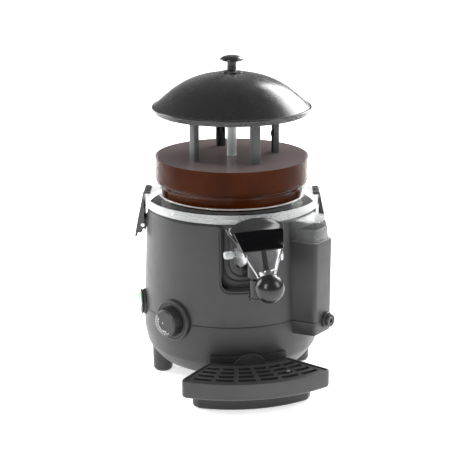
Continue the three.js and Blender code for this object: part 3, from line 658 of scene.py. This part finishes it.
# ---------- bowl, drink, stirrer and lid ----------
def make_bowl():
    wall = fillet([
        (114.3, BOWL_TOP, 0.8), (113.6, 322, 30), (114.3, 290, 3), (112.5, 284.5, 2), (107, 281.5, 2),
        (105.3, 277, 2), (105.3, 267.2, 1.2), (124, 267, 1), (125.3, 265.5, 1), (125.3, FLANGE_BOTTOM, 0.6),
        (122.6, FLANGE_BOTTOM, 0.6), (122.6, 264, 0.8), (103, 264, 0.8), (101, 260.2, 0.5), (93, 260.2, 0.5),
        (93, 252.8, 0.5), (90.8, 252.8, 0.5), (90.8, 263.2, 0.5), (100, 263.2, 1), (102.3, 266, 1),
        (102.3, 279, 2), (104.5, 284, 2), (110.2, 287.5, 2), (111.3, 291, 3), (110.6, 322, 30),
        (111.3, BOWL_TOP, 0.8)], 1)
    outlet = turn(box((-9, 9), (-101.5, -95.5), (255, 270)), VALVE_BEARING)
    piece("bowl_clear", cut(lathe(wall, FINE), outlet), CLEAR, replaces=["bowl"])
    # A second skin, whiter than the bowl, carries the flange's thicker look, with a bead round the neck. It is
    # clear plastic made milky as a painted reflection of the thick flange's bright edges.
    reflection_band = lathe(fillet([
        (125.32, 265.2), (125.32, FLANGE_BOTTOM + 0.2), (125.5, FLANGE_BOTTOM + 0.4), (125.5, 264.8)], 0.05), FINE)
    neck = lathe(fillet([(105.2, 267.1), (106.6, 267.1), (106, 268.4), (105.2, 269)], 0.3), FINE)
    piece("bowl_flange_reflection_skin", merge(reflection_band, neck), FLANGE_PAINTED_REFLECTION)


def make_drink():
    level = LIQUID_LEVEL
    profile = [
        (0, 262.4), (84, 262.4), (90.4, 263.5), (99.8, 263.5), (102, 266.2), (102, 279), (104.2, 284.3),
        (109.9, 287.8), (111, 291.2), (110.3, level - 0.6), (110.4, level + 0.5), (109.2, level - 0.1), (0, level)]
    piece("drink", lathe(fillet(profile, 0.4), FINE), DRINK_PAINTED_TOP)


def make_stirrer():
    """Centre tube with a cap, four arms, and four curved paddles with hooked ears."""
    top = height_of("stirrer_frame", 1)
    cap = lathe(fillet([(4.5, 381), (11, 382), (11, top - 1), (9, top), (4.5, top)], 1), 48)
    shapes = [cap]
    for i, angle in enumerate(BLADE_ANGLES):
        arm = box((4.6, 68), (-4.5, 4.5), (385, top), 0.8)
        channel = [(61.5, -6.8), (69.8, -6.8, 2.5), (69.8, 6.8, 2.5), (61.5, 6.8), (61.5, 4.6), (67.2, 4.6, 1.5),
                   (67.2, -4.6, 1.5), (61.5, -4.6)]
        paddle = slab(fillet(channel, 0.5, steps=3), 288, 387, 0.4)
        foot = box((55, 69), (-6, 6), (288, 291.6), 0.8)
        ear = slab(fillet([(0, -7), (9, -5), (11.5, 3), (8, 9), (0, 12)], 3), -1.2, 1.2, 0.5)
        ear = move(ear, Matrix.Translation((68, 0, 348)) @ Matrix.Rotation(math.radians(90), 4, "X")
                   @ Matrix.Rotation(math.radians(180 if i % 2 else 200), 4, "Y"))
        shapes += [turn(part, angle) for part in (arm, paddle, foot, ear)]
    piece("stirrer_paddles", merge(*shapes), STIRRER, "stirrer", ["stirrer_frame"])
    tube = lathe(fillet([(4.3, 269), (6.9, 269), (6.9, 384.8), (4.3, 384.8)], 0.4), 64)
    piece("stirrer_tube", tube, TUBE, "stirrer")


def make_lid():
    dome = flowing([(0, 440), (16, 439.9), (31, 438.3), (49, 434.2), (67, 427), (82, 418), (94, 408.6),
                    (103, 400.8), (109.4, 395.2)], 6)
    rim = fillet([(109.4, 395.2), (111, 393.9, 1), (113.4, 393.4, 1), (114.3, 392.2, 0.8), (114, 390.9, 0.5),
                  (109.7, 391, 0.5), (109.6, 384.4, 0.6), (107.4, 384, 0.6), (107.2, 392, 3)], 1, closed=False)
    under = flowing([(107.2, 392), (91, 406.4), (65, 423), (30, 435.4), (0, 437)], 6)
    bore = move(rod(2.9, 430, 445), Matrix.Rotation(-math.pi / 2, 4, "Y"))
    shell = cut(lathe([*dome, *rim[1:], *under[1:]], FINE), bore)
    piece("lid_shell", shell, LID_PLASTIC, "lid", ["lid_dome"])
    knob = fillet([
        (0, 440.4, 0), (15.6, 440.4, 0.4), (15.2, 442.2, 1), (8.2, 443.4, 1.5), (6.6, 446, 0.6), (6.6, 449.6, 0.3),
        (6.1, 450.1, 0.3), (6.6, 450.6, 0.3), (6.6, 456.4, 0.8), (13.5, 457.2, 2), (17, 458.8, 0.7),
        (16.4, 460.6, 1), (12, 463.6, 4), (6, TOTAL_HEIGHT, 4), (0, TOTAL_HEIGHT, 0)], 0.5)
    piece("lid_handle", lathe(knob, 64), LID_PLASTIC, "lid", ["lid_knob"])
    screw = lathe(fillet([
        (0, 433.6, 0), (5.5, 433.6), (5.5, 436.8), (2.2, 437, 0.1), (2.2, 453), (0, 453, 0)], 0.5), 32)
    piece("lid_screw", screw, STEEL, "lid", ["lid_knob_screw"])


# ---------- latches ----------
def latch_plate(outline, start, end, edge=0.0):
    """Plate with an outline of [distance from the axis, height], spread sideways from start to end."""
    return move(slab(outline, -end, -start, edge), FRONTWAYS)


def make_latches():
    skin = fillet([
        (117, 267.7), (126.5, 267.7), (126.5, 262), (128.6, 250), (132.8, 229.5), (136.6, 206), (138.7, 201.8, 0.8),
        (140.1, 203.2, 0.8), (139.4, 210), (135.4, 231), (130.7, 252), (127.5, 269, 2.5), (124.8, 271.8, 2.5),
        (119, 271.3), (116.7, 269.6)], 1.0, steps=3)
    cheek = fillet([
        (126.5, 228), (126.9, 218), (130.6, 209.2), (136.8, 209.2), (133.4, 231), (128.4, 259), (128, 262),
        (126.5, 260)], 0.8, steps=3)
    lug = fillet([(124, 214), (129, 213.6), (131, 216), (131, 226), (129, 228.4), (124, 228.4)], 1.2)
    at_pin = Matrix.Translation((LATCH_PIN[0], 0, LATCH_PIN[1])) @ FRONTWAYS
    hole = move(lathe([(0, -30), (2.4, -30), (2.4, 30), (0, 30)], 32), at_pin)
    for name, bearing in LATCH_BEARINGS.items():
        at = facing(bearing)
        lever = fuse(latch_plate(skin, -19, 19), latch_plate(cheek, -19, -16.6), latch_plate(cheek, 16.6, 19))
        piece(f"latch_{name}_arm", move(cut(lever, hole), at), SATIN, f"latch_{name}",
              [f"latch_lever_{name}"])
        plate = box((120, 125.6), (-15, 15), (212, 231), 1)
        lugs = [latch_plate(lug, *reach, 0.4) for reach in ((-15, -11.8), (11.8, 15))]
        bracket = cut(fuse(plate, *lugs), hole, body_solid(0.7))
        housing_piece(f"latch_{name}_mount", move(bracket, at), f"latch_bracket_{name}")
        pin = lathe(fillet([
            (0, -19.8, 0), (2.9, -19.8, 1), (2.9, -19.1), (2, -19.0), (2, 19), (2.9, 19.1), (2.9, 19.8, 1),
            (0, 19.8, 0)], 0.3), 24)
        piece(f"latch_{name}_axle", move(pin, at @ at_pin), STEEL, replaces=[f"latch_pin_{name}"])


# ---------- dial and switch ----------
def digits(text, size, depth):
    """Raised numerals as a solid, centred on the origin and facing +Z."""
    curve = bpy.data.curves.new("digits", "FONT")
    curve.body = text
    curve.size = size
    curve.extrude = depth
    curve.align_x = "CENTER"
    curve.align_y = "CENTER"
    thing = bpy.data.objects.new("digits", curve)
    bpy.context.scene.collection.objects.link(thing)
    return evaluated(thing)


def on_dial(shape, clock, radius, lift):
    """Lays a flat mark on the dial's face at a clock angle, its top outwards."""
    face = Matrix.Rotation(math.pi / 2, 4, "Z") @ Matrix.Rotation(math.pi / 2, 4, "X")
    spin = Matrix.Rotation(math.radians(-clock), 4, "Z")
    return move(shape, Matrix.Translation((lift, 0, 0)) @ face @ spin @ Matrix.Translation((0, radius, 0)))


def make_dial():
    at = facing(DIAL_BEARING, DIAL_Z)
    skin = move(body_solid(0.6), at.inverted())
    bezel = turned([
        (5, 112), (30, 112), (30, 130.2, 1), (28.4, 132.2, 0.8), (26.2, 132.4, 0.5), (25.8, 131.5, 0.3),
        (25.2, 131.5, 0.3), (24.8, 132.3, 0.4), (22.6, 132.4, 0.5), (22.5, 130.6, 0.3), (5, 130.6, 0.2)], 0.4, 96)
    notch = box((131.2, 133), (-0.5, 0.5), (22.6, 25.6), 0.1)
    side_notch = box((131.2, 133), (-25.6, -22.6), (-0.5, 0.5), 0.1)
    housing_piece("dial_ring", move(cut(bezel, skin, notch, side_notch), at), "dial_bezel")
    knob = turned([
        (3.4, 131.2), (20.6, 131.2, 0.6), (20, 133), (19.4, 145.4, 1.4), (16.6, 147.2, 1), (0, 147.5, 0),
        (0, 143, 0), (3.4, 143)], 0.5, 96)
    rib = sweep([(132.5, 0, 20.1), (144.4, 0, 19.5)], 0.5, sides=6)
    ribs = [turn(rib, 7.5 * i, "X") for i in range(48)]
    piece("dial_grip", move(merge(knob, *ribs), at), HOUSING, "dial", ["dial_knob"])
    marks = [on_dial(box((-0.35, 0.35), (-1.2, 1.2), (-0.1, 0.1), 0.05), clock, 15.4, 147.3)
             for clock in range(150, 301, 10)]
    labels = [on_dial(digits(str(10 * (i + 3)), 3.6, 0.1), 290 - 20 * i, 11.8, 147.42) for i in range(7)]
    dash = on_dial(box((-1.6, 1.6), (-0.4, 0.4), (-0.1, 0.1), 0.05), 272, 3, 147.55)
    piece("dial_scale", move(merge(*marks, *labels, dash), at), PRINT, "dial")


def make_switch():
    at = facing(SWITCH_BEARING, SWITCH_Z)
    skin = move(body_solid(0.5), at.inverted())
    flange = turned([
        (0, 112, 0), (19, 112), (19, 130.4, 0.8), (17.4, 131, 0.5), (17.4, 132, 0.5), (18.6, 132.6, 0.5),
        (18.6, 134.4, 0.9), (14.8, 135, 0.6), (14.2, 133.8, 0.5), (0, 133.6, 0)], 0.4, 72)
    well = box((121, 150), (-8.2, 8.2), (-11.7, 11.7), 0.6)
    frame_body = box((104, 130), (-10, 10), (-13, 13), 0.6)
    housing_piece("switch_bezel", move(cut(fuse(cut(flange, skin), frame_body), well), at), "switch_housing")
    back = [(131.6 + 8 * math.cos(t), 10.8 * math.sin(t)) for t in
            [math.pi / 2 + math.pi * i / 12 for i in range(13)]]
    outline = [*back, (137.6, -10.2), (135.2, 0), (140.6, 10.2)]
    rocker = move(slab(fillet(outline, 0.9, steps=4), -7.6, 7.6, 0.9), FRONTWAYS)
    groove = sweep([(137.9, -6, 4), (137.9, 6, 4)], 0.45, sides=8)
    grooves = [shift(groove, 0.26 * k, 0, 1.5 * k) for k in range(4)]
    piece("rocker_lens", move(cut(rocker, *grooves), at), GREEN, "rocker", ["switch_rocker"])


# ---------- water box ----------
def make_water_box():
    cup = cut(
        slab(box_outline(4.8), 127, 237, 0.7), column(129),
        cut(slab(box_outline(6.4), 129, 240, 0, 2), column(131)))
    housing_piece("filling_cup", cup, "reservoir_cup")
    body = column(126)
    outer = cut(slab(box_outline(0.2), COVER_BOTTOM, COVER_TOP, 2, 0.5), body)
    foot = cut(slab(box_outline(-0.5), COVER_BOTTOM + 0.2, COVER_BOTTOM + 2.2, 0.7), body)
    hollow = cut(slab(box_outline(2.4), COVER_BOTTOM - 4, COVER_TOP - 2, 1.6, 0), column(128))
    piece("cover_clear", cut(fuse(outer, foot), hollow), CLEAR_COVER, "cover", ["reservoir_cover"])

    start, end = Vector(BOX_CORNERS[1]), Vector(BOX_CORNERS[2])
    angle = math.atan2(end.y - start.y, end.x - start.x) - math.pi / 2
    at = Matrix.Translation(DRAIN_AT) @ Matrix.Rotation(angle, 4, "Z")
    valve = turned([
        (2.4, -9), (3.8, -9), (3.8, 0.5), (11.4, 0.5), (11.4, 2.4, 1), (10.4, 3.9, 1), (2.4, 3.9)], 0.3, 48)
    housing_piece("drain_seat", move(valve, at), "drain_valve_body")
    knob = turned([
        (0, -3, 0), (2, -3), (2, 4.4), (9.4, 4.4), (9.6, 6), (9.1, 9, 0.8), (7.4, 9.6, 0.5), (6.8, 8.6, 0.4),
        (3.4, 8.6, 0.4), (2.8, 6.4, 0.2), (0, 6.4, 0)], 0.4, 48)
    flute = sweep([(4, 0, 10.1), (12, 0, 9.8)], 0.8, sides=10)
    flutes = [turn(flute, 30 * i, "X") for i in range(12)]
    piece("drain_tap", move(cut(knob, *flutes), at), HOUSING, "drain", ["drain_knob"])


# ---------- tap ----------
VALVE = Matrix.Rotation(math.radians(VALVE_BEARING), 4, "Z")
HEAD = VALVE @ Matrix.Translation((0, -VALVE_RADIUS, 0)) @ Matrix.Rotation(
    math.radians(HANDLE_YAW - VALVE_BEARING), 4, "Z")
PIN_AT = Matrix.Translation((0, 16, 216))
BALL_CENTRE, BALL_R = (0, -44, 183.5), 20.3


def make_spout():
    barrel = lathe(fillet([
        (8.4, 153, 0.5), (10.9, 153, 0.5), (12, 183, 2), (15, 187.5, 2), (15, 209.2), (8.4, 209.2)], 0.8), 72)
    ring_low = lathe(fillet([(8.6, 156), (11.9, 156), (11.9, 158.4), (8.6, 158.4)], 0.8), 72)
    barrel = shift(fuse(barrel, ring_low), 0, -VALVE_RADIUS)
    duct_section = fillet([(-13, 206), (-13, 189), (-7, 184.2), (7, 184.2), (13, 189), (13, 206)], 5)
    duct = move(slab(duct_section, 95, VALVE_RADIUS - 3, 0.6), FRONTWAYS)
    riser = box((-12, 12), (-103.5, -94), (186, 259.6), 1.2)
    to_head = VALVE.inverted() @ HEAD
    saddle = move(box((-23, 23), (6, 22), (196, 209.2), 2), to_head)
    lug = fillet([(10, 198), (22, 198), (22, 218), (16, 225), (10, 219)], 3.5, steps=5)
    lugs = [move(slab(lug, x - 3.5, x + 3.5, 0.6), to_head @ SIDEWAYS) for x in (-19.5, 19.5)]
    ribs = [move(slab(fillet([(-150, 186), (-108, 172), (-108, 190), (-150, 190)], 6), x - 1.2, x + 1.2, 0.4),
                 SIDEWAYS) for x in (-9, 9)]
    bore = shift(column(8.4, 150, 213, 72), 0, -VALVE_RADIUS)
    pin_hole = move(rod(PIN_HOLE, -60, 60, edge=0), to_head @ PIN_AT)
    shape = fuse(barrel, duct, riser, saddle, *lugs, *ribs)
    shape = cut(shape, bore, box((-9, 9), (-VALVE_RADIUS, -96.5), (189, 201)),
                box((-9, 9), (-101.5, -96.5), (189, 262)), pin_hole)
    piece("spout_body", move(shape, VALVE), GLOSS, replaces=["tap_spout"])


HEAD_SIDE = [  # [forward Y, height] of the lever's face, from the ball up to the crest
    (-38, 194), (-34.2, 202), (-27.5, 215), (-20.8, 229), (-10, 242.4), (-1.6, 252.6), (1.6, 258.4),
    (3.6, 263.4), (5.4, 267)]
HEAD_WIDTH = [  # [height, half width] of the lever's face
    (190, 11.5), (200.5, 15.5), (214, 22.8), (229, 30.6), (242, 35.6), (253, 39.4), (262, 41.4), (268, 42)]


def head_half_width(height):
    for (z0, w0), (z1, w1) in zip(HEAD_WIDTH, HEAD_WIDTH[1:]):
        if height <= z1:
            return w0 + (w1 - w0) * (height - z0) / (z1 - z0)
    return HEAD_WIDTH[-1][1]


def head_shell():
    """Fan-shaped shell: flat in the middle, turned back round its sides and crest."""
    columns, side_depth, crest_drop, fall_from = 48, 9.5, 13.0, 240
    crest = HEAD_SIDE[-1][1]
    front, back = [], []
    for y, z in flowing(HEAD_SIDE, 6):
        row = []
        for k in range(columns + 1):
            u = -math.cos(math.pi * k / columns)
            tall = crest - crest_drop * abs(u) ** 2.3
            height = z if z < fall_from else fall_from + (z - fall_from) * (tall - fall_from) / (crest - fall_from)
            turn_back = side_depth * (1 - (1 - abs(u) ** 5) ** (1 / 5))
            row.append(Vector((head_half_width(z) * u, y + turn_back, height)))
        front.append(row)
    top = front[-1]
    for drop, behind in ((-0.5, 1.2), (-0.9, 2.6), (-1.6, 3.6)):
        front.append([p + Vector((-0.012 * p.x * behind, behind, drop + 0.9)) for p in top])
    for row in reversed(front):
        back.append([p + Vector((-p.x * 0.075, 2.6, -1.2)) for p in row])
    rows = front + back
    width = columns + 1
    vertices = [tuple(p) for row in rows for p in row]
    faces = []
    for r in range(len(rows)):
        s = (r + 1) % len(rows)
        for c in range(columns):
            faces.append([r * width + c, r * width + c + 1, s * width + c + 1, s * width + c])
    half = len(front)
    for r in range(half - 1):  # closes the two long sides
        a, b = r * width, (len(rows) - 1 - r) * width
        faces.append([a, a + width, b - width, b])
        faces.append([a + columns, b + columns, b - width + columns, a + width + columns])
    return vertices, faces


def make_handle():
    neck = lathe(fillet([(0, 0, 0), (9, 0), (12.5, 14), (0, 14, 0)], 2), 48)
    neck = move(neck, Matrix.Translation((0, -41, FINE)) @ Matrix.Rotation(math.radians(-30), 4, "X"))
    arm = fillet([
        (-24, 224), (-24, 214), (-10, 206), (8, 204), (18, 206), (22, 215), (18, 225), (0, 231), (-12, 237)], 4)
    arms = [move(slab(arm, x - 2, x + 2, 0.6), SIDEWAYS) for x in (-26, 26)]
    link = move(rod(1.5, -25, 25), Matrix.Translation((0, 0, 216)))
    hole = move(rod(PIN_HOLE, -60, 60, edge=0), PIN_AT)
    shell = cut(head_shell(), hole)
    arms = cut(merge(*arms), hole)
    piece("handle_shell", move(merge(shell, arms, link, neck), HEAD), SHELL,
          "tap_lever", ["tap_handle"], 40)
    turns = [math.pi * (i / 48 - 0.5) for i in range(49)]
    ball = lathe([(max(0, BALL_R * math.cos(t)), BALL_R * math.sin(t)) for t in turns], 96)
    piece("handle_ball", move(shift(ball, *BALL_CENTRE), HEAD), BALL, "tap_lever")
    side = flowing([(-39.5, 197), (-34.6, 202.4), (-27.9, 215), (-21.4, 228.6)], 6)
    rib_rows = [[(s * (3.6 - 0.5 * k / len(side)), y - lift, z) for s, lift in (
        (-1, -0.6), (-0.9, 0.9), (0.9, 0.9), (1, -0.6))] for k, (y, z) in enumerate(side)]
    piece("handle_rib", move(loft(rib_rows), HEAD), MATT_BLACK, "tap_lever")
    outline = fillet([(-29.5, 0), (29.5, 0), (36.2, 29), (-36.2, 29)], 2.2)
    slope = Matrix.Translation((0, -20.8, 229.2)) @ Matrix.Rotation(math.radians(51), 4, "X")
    piece("handle_badge", move(slab(outline, -0.4, 1.9, 0.5), HEAD @ slope), PLATE, "tap_lever",
          ["handle_plate"])


def make_tap_inside():
    head = turned([
        (0, -41.8, 0), (4.6, -41.8, 0.8), (5.2, -40.4, 0.4), (4.6, -39.6, 0.3), (4.6, -33, 0.3), (5.2, -32.2, 0.4),
        (5.2, -30.4, 0.5), (3.2, -30, 0.2), (3.2, 29.4, 0.6), (0, 30, 0)], 0.4, 40)
    rib = sweep([(-40, 0, 4.7), (-32, 0, 4.7)], 0.7, sides=8)
    ribs = [turn(rib, 30 * i, "X") for i in range(12)]
    piece("pivot_pin", move(merge(head, *ribs), HEAD @ PIN_AT), CLEAR_PIN, replaces=["tap_pivot_pin"])
    plug = lathe(fillet([
        (0, 187, 0), (7.9, 187), (7.9, 202), (6.4, 202), (6.4, 204.6), (7.9, 204.6), (7.9, 208), (3, 208),
        (3, 213.4), (0, 213.4, 0)], 0.4), 48)
    eye = cut(box((-3.2, 3.2), (-7, 7), (212.7, 221), 1), box((-6, 6), (-4.6, 4.6), (213.9, 218.1), 1))
    piece("plunger_rod", move(fuse(plug, eye), HEAD), WHITE, "plunger", ["tap_piston"])
    ring = lathe([(7.3 + 0.85 * math.cos(t), 203.3 + 0.95 * math.sin(t)) for t in
                  [2 * math.pi * i / 12 for i in range(12)]], 48)
    piece("plunger_seal", move(ring, HEAD), RUBBER, "plunger", ["piston_seal"])
    turns, steps = 6, 16
    helix = [(-4.2 + 8.4 * i / (turns * steps), 4.75 * math.cos(2 * math.pi * i / steps),
              4.75 * math.sin(2 * math.pi * i / steps)) for i in range(turns * steps + 1)]
    coil = shift(sweep(helix, 0.6, sides=8), 10.2)
    piece("return_spring", move(coil, HEAD @ PIN_AT), STEEL, replaces=["lever_spring"])


# ---------- drip tray ----------
def tray_outline(offset, steps=40):
    tip = TRAY_TIP - 0.28 * offset
    heel = 25.6 - 0.44 * offset
    outer = TRAY_FRONT - offset
    front = arc(outer, -tip + 3, tip - 3, steps)
    back = arc(TRAY_BACK + offset, heel, -heel, 20)
    corner = arc(outer, tip, tip, 1)[0]
    heel_way = (Vector(back[0]) - Vector(corner)).normalized()
    start, middle, end = Vector(front[-1]), Vector(corner), Vector(corner) + heel_way * 11
    round_tip = [bend(start, middle, end, k / 6) for k in range(1, 7)]
    return [*front, *round_tip, *back, *[(-x, y) for x, y in reversed(round_tip)]]


def make_tray():
    top = GRILLE_TOP + 1.4
    shell = slab(tray_outline(0), TRAY_BOTTOM, top, 1.1, 4.2, steps=5)
    well = slab(tray_outline(5), TRAY_BOTTOM + 2.6, 49, 0, 3)
    rebate = slab(tray_outline(3), 48.2, top + 3, 0)
    disc = move(slab(circle(25.1, 96, (0, 41.9)), 120, 140, 0), FRONTWAYS)
    wall = lathe([(134.2, 40), (136.8, 40), (136.8, 70), (134.2, 70)], 256)
    tab = common(wall, disc, box((-60, 60), (-150, -100), (46, 80)))
    edge = [(24.4 * math.cos(t), 41.9 + 24.4 * math.sin(t)) for t in
            [math.radians(12) + math.radians(156) * i / 40 for i in range(41)]]
    bead = sweep(on_cylinder(edge, 136.6), 0.9)
    shape = merge(fuse(cut(shell, well, rebate), tab), bead)
    piece("tray_pan", shape, TRAY_PLASTIC, "tray", ["drip_tray"])


def slot_outline(radius, half, start, end):
    points = [*arc(radius + half, start, end, 4), *arc(radius - half, end, start, 4)]
    return fillet(points, 1.6, steps=3)


def make_grille():
    plate = slab(tray_outline(3.4), GRILLE_TOP - 2, GRILLE_TOP, 0.4)
    slots, ridges = [], []
    for row in range(4):
        radius = 151 + 13.6 * row
        reach = 25 + 0.9 * row
        for column in range(6):
            start = -reach + column * reach / 3 + 0.9
            end = start + reach / 3 - 1.8
            slots.append(slab(slot_outline(radius, 3.6, start, end), 40, 60, 0))
            edge = slot_outline(radius, 4.1, start - 0.15, end + 0.15)
            ridges.append(sweep([(x, y, GRILLE_TOP + 0.05) for x, y in edge], 0.45, closed=True, sides=8))
    shape = cut(plate, merge(*slots))
    piece("grille_plate", merge(shape, *ridges), TRAY_PLASTIC, "grille", ["drip_grille"])
    stud = lathe(fillet([(0, 50.2, 0), (3.4, 50.2, 0.2), (3, 51.6, 0.8), (0, 51.9, 0)], 0.5), 32)
    piece("grille_stud", shift(stud, 46.6, -167.9), STEEL, "grille")


def make_support():
    side, top = 84, height_of("drip_tray", 0) - 0.4
    outline = [*arc(178, -26, 26, 40), (side, -151), (side - 3, -126), (3 - side, -126), (-side, -151)]
    plinth = slab(fillet(outline, 4, steps=3), 0, top, 0.6, 5.5, steps=6)
    shelf = box((-55, 55), (-133, -92), (14, 21.4), 0.8)
    ring = lathe([(129.6, 14), (133.4, 14), (133.4, 62), (129.6, 62)], 256)
    wall = common(ring, box((-55, 55), (-140, -100), (10, 61.8), 1))
    foot = shift(column(17, -5, 60, 48), 0, -FOOT_RING)
    shape = cut(fuse(plinth, shelf, wall), body_solid(0.5), foot)
    piece("tray_bracket", shape, BRACKET, replaces=["tray_support"])


# ---------- cable gland, and the CAD pieces that keep their shape ---
def make_gland():
    at = facing(GLAND_BEARING, GLAND_Z)
    body = turned([(4, 118), (6.6, 118), (6.6, 129.4), (10, 129.4), (10, 132.4), (8, 132.6), (7.8, 135.4, 1),
                   (6, 135.9, 0.5), (4, 134)], 0.4, 48)
    flats = slab(circle(10.6, 6), 129.2, 132.8, 0.4)
    nut = move(flats, TO_X)
    ring = cut(nut, rod(5, 120, 140, edge=0))
    housing_piece("cord_gland", move(merge(body, ring), at), "cable_gland")


def dress_cad():
    inner = [
        (STEEL, "stainless", ["water_bath_tank", "drive_shaft"]),
        (RUBBER, "rubber_black", ["tank_gasket", "shaft_seal", "fill_hose", "drain_hose"]),
        (ZINC, "zinc_steel", ["heating_element", "gearbox", "gear_motor", "motor_bracket", "thermostat"]),
        (BRASS, "brass", ["thermal_cutout"]),
        (WHITE, "white_plastic", ["terminal_block"]),
    ]
    for material, slot, name in [(m, s, n) for m, s, names in inner for n in names]:
        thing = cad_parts[name]
        thing.data.materials.clear()
        thing.data.materials.append(material)
        thing.data.polygons.foreach_set("use_smooth", [True] * len(thing.data.polygons))
        thing.data.set_sharp_from_angle(angle=math.radians(32))


# ---------- studio ----------
def make_studio():
    floor_mesh = raw_mesh("floor", ([(-9, -5, 0), (9, -5, 0), (9, 16, 0), (-9, 16, 0)], [[0, 1, 2, 3]]))
    floor = bpy.data.objects.new("floor", floor_mesh)
    bpy.context.scene.collection.objects.link(floor)
    paper = Surface("floor_paper", (0.93, 0.93, 0.93), 0.7)
    paper.shader.inputs["Emission Color"].default_value = (1, 1, 1, 1)
    paper.bump(paper.noise(300, 2), 0.02, 0.0005)
    # The paper glows more with depth, so that it stays white to the top of the picture.
    paper.feed("Emission Strength", paper.between(paper.along(paper.place, "Y"), 0.6, 1.1, 0.8, 3))
    floor_mesh.materials.append(paper.material)

    world = bpy.data.worlds.new("studio")
    world.use_nodes = True
    bpy.context.scene.world = world
    tree = world.node_tree
    way = tree.nodes.new("ShaderNodeTexCoord").outputs["Generated"]
    split = tree.nodes.new("ShaderNodeSeparateXYZ")
    tree.links.new(way, split.inputs["Vector"])
    fade = tree.nodes.new("ShaderNodeMapRange")
    for socket, number in zip(fade.inputs[1:5], (0.3, 0.75, 1.05, 0.12)):
        socket.default_value = number
    tree.links.new(split.outputs["Z"], fade.inputs["Value"])
    tree.links.new(fade.outputs["Result"], tree.nodes["Background"].inputs["Strength"])

    add_light("overhead", (0, 0.2, 2.6), (0, 0, 0), (4.5, 4.5), 120, glossy=False)
    add_light("left_softbox", (-1.5, -1.5, 1.3), (0, 0, 0.25), (0.5, 1.3), 22)
    add_light("right_softbox", (1.9, -1.1, 1.5), (0, 0, 0.25), (0.9, 1.4), 30)
    add_light("right_rim", (1.7, 1.5, 1.5), (0, 0, 0.35), (1.4, 1.4), 75)
    add_light("left_rim", (-1.8, 1.2, 1.0), (0, 0, 0.3), (0.8, 1.4), 30)


def add_light(name, place, target, size, power, glossy=True):
    data = bpy.data.lights.new(name, "AREA")
    data.shape = "RECTANGLE"
    data.size, data.size_y = size
    data.energy = power
    light = bpy.data.objects.new(name, data)
    light.location = place
    light.rotation_euler = (Vector(target) - Vector(place)).to_track_quat("-Z", "Y").to_euler()
    light.visible_glossy = glossy
    bpy.context.scene.collection.objects.link(light)


def make_camera():
    data = bpy.data.cameras.new("camera")
    data.sensor_width = 36
    data.lens = 104.8
    camera = bpy.data.objects.new("camera", data)
    camera.location = TO_FRAME @ Vector((-361.5, -1865.3, 761.3))
    camera.rotation_euler = (math.radians(90 - 16.33), 0, math.radians(-11))
    bpy.context.scene.collection.objects.link(camera)
    bpy.context.scene.camera = camera


bpy.context.scene.view_settings.view_transform = "Standard"
make_camera()
make_studio()
make_base()
make_upper()
make_recess()
make_feet()
make_bowl()
make_drink()
make_stirrer()
make_lid()
make_latches()
make_dial()
make_switch()
make_water_box()
make_spout()
make_handle()
make_tap_inside()
make_tray()
make_grille()
make_support()
make_gland()
dress_cad()
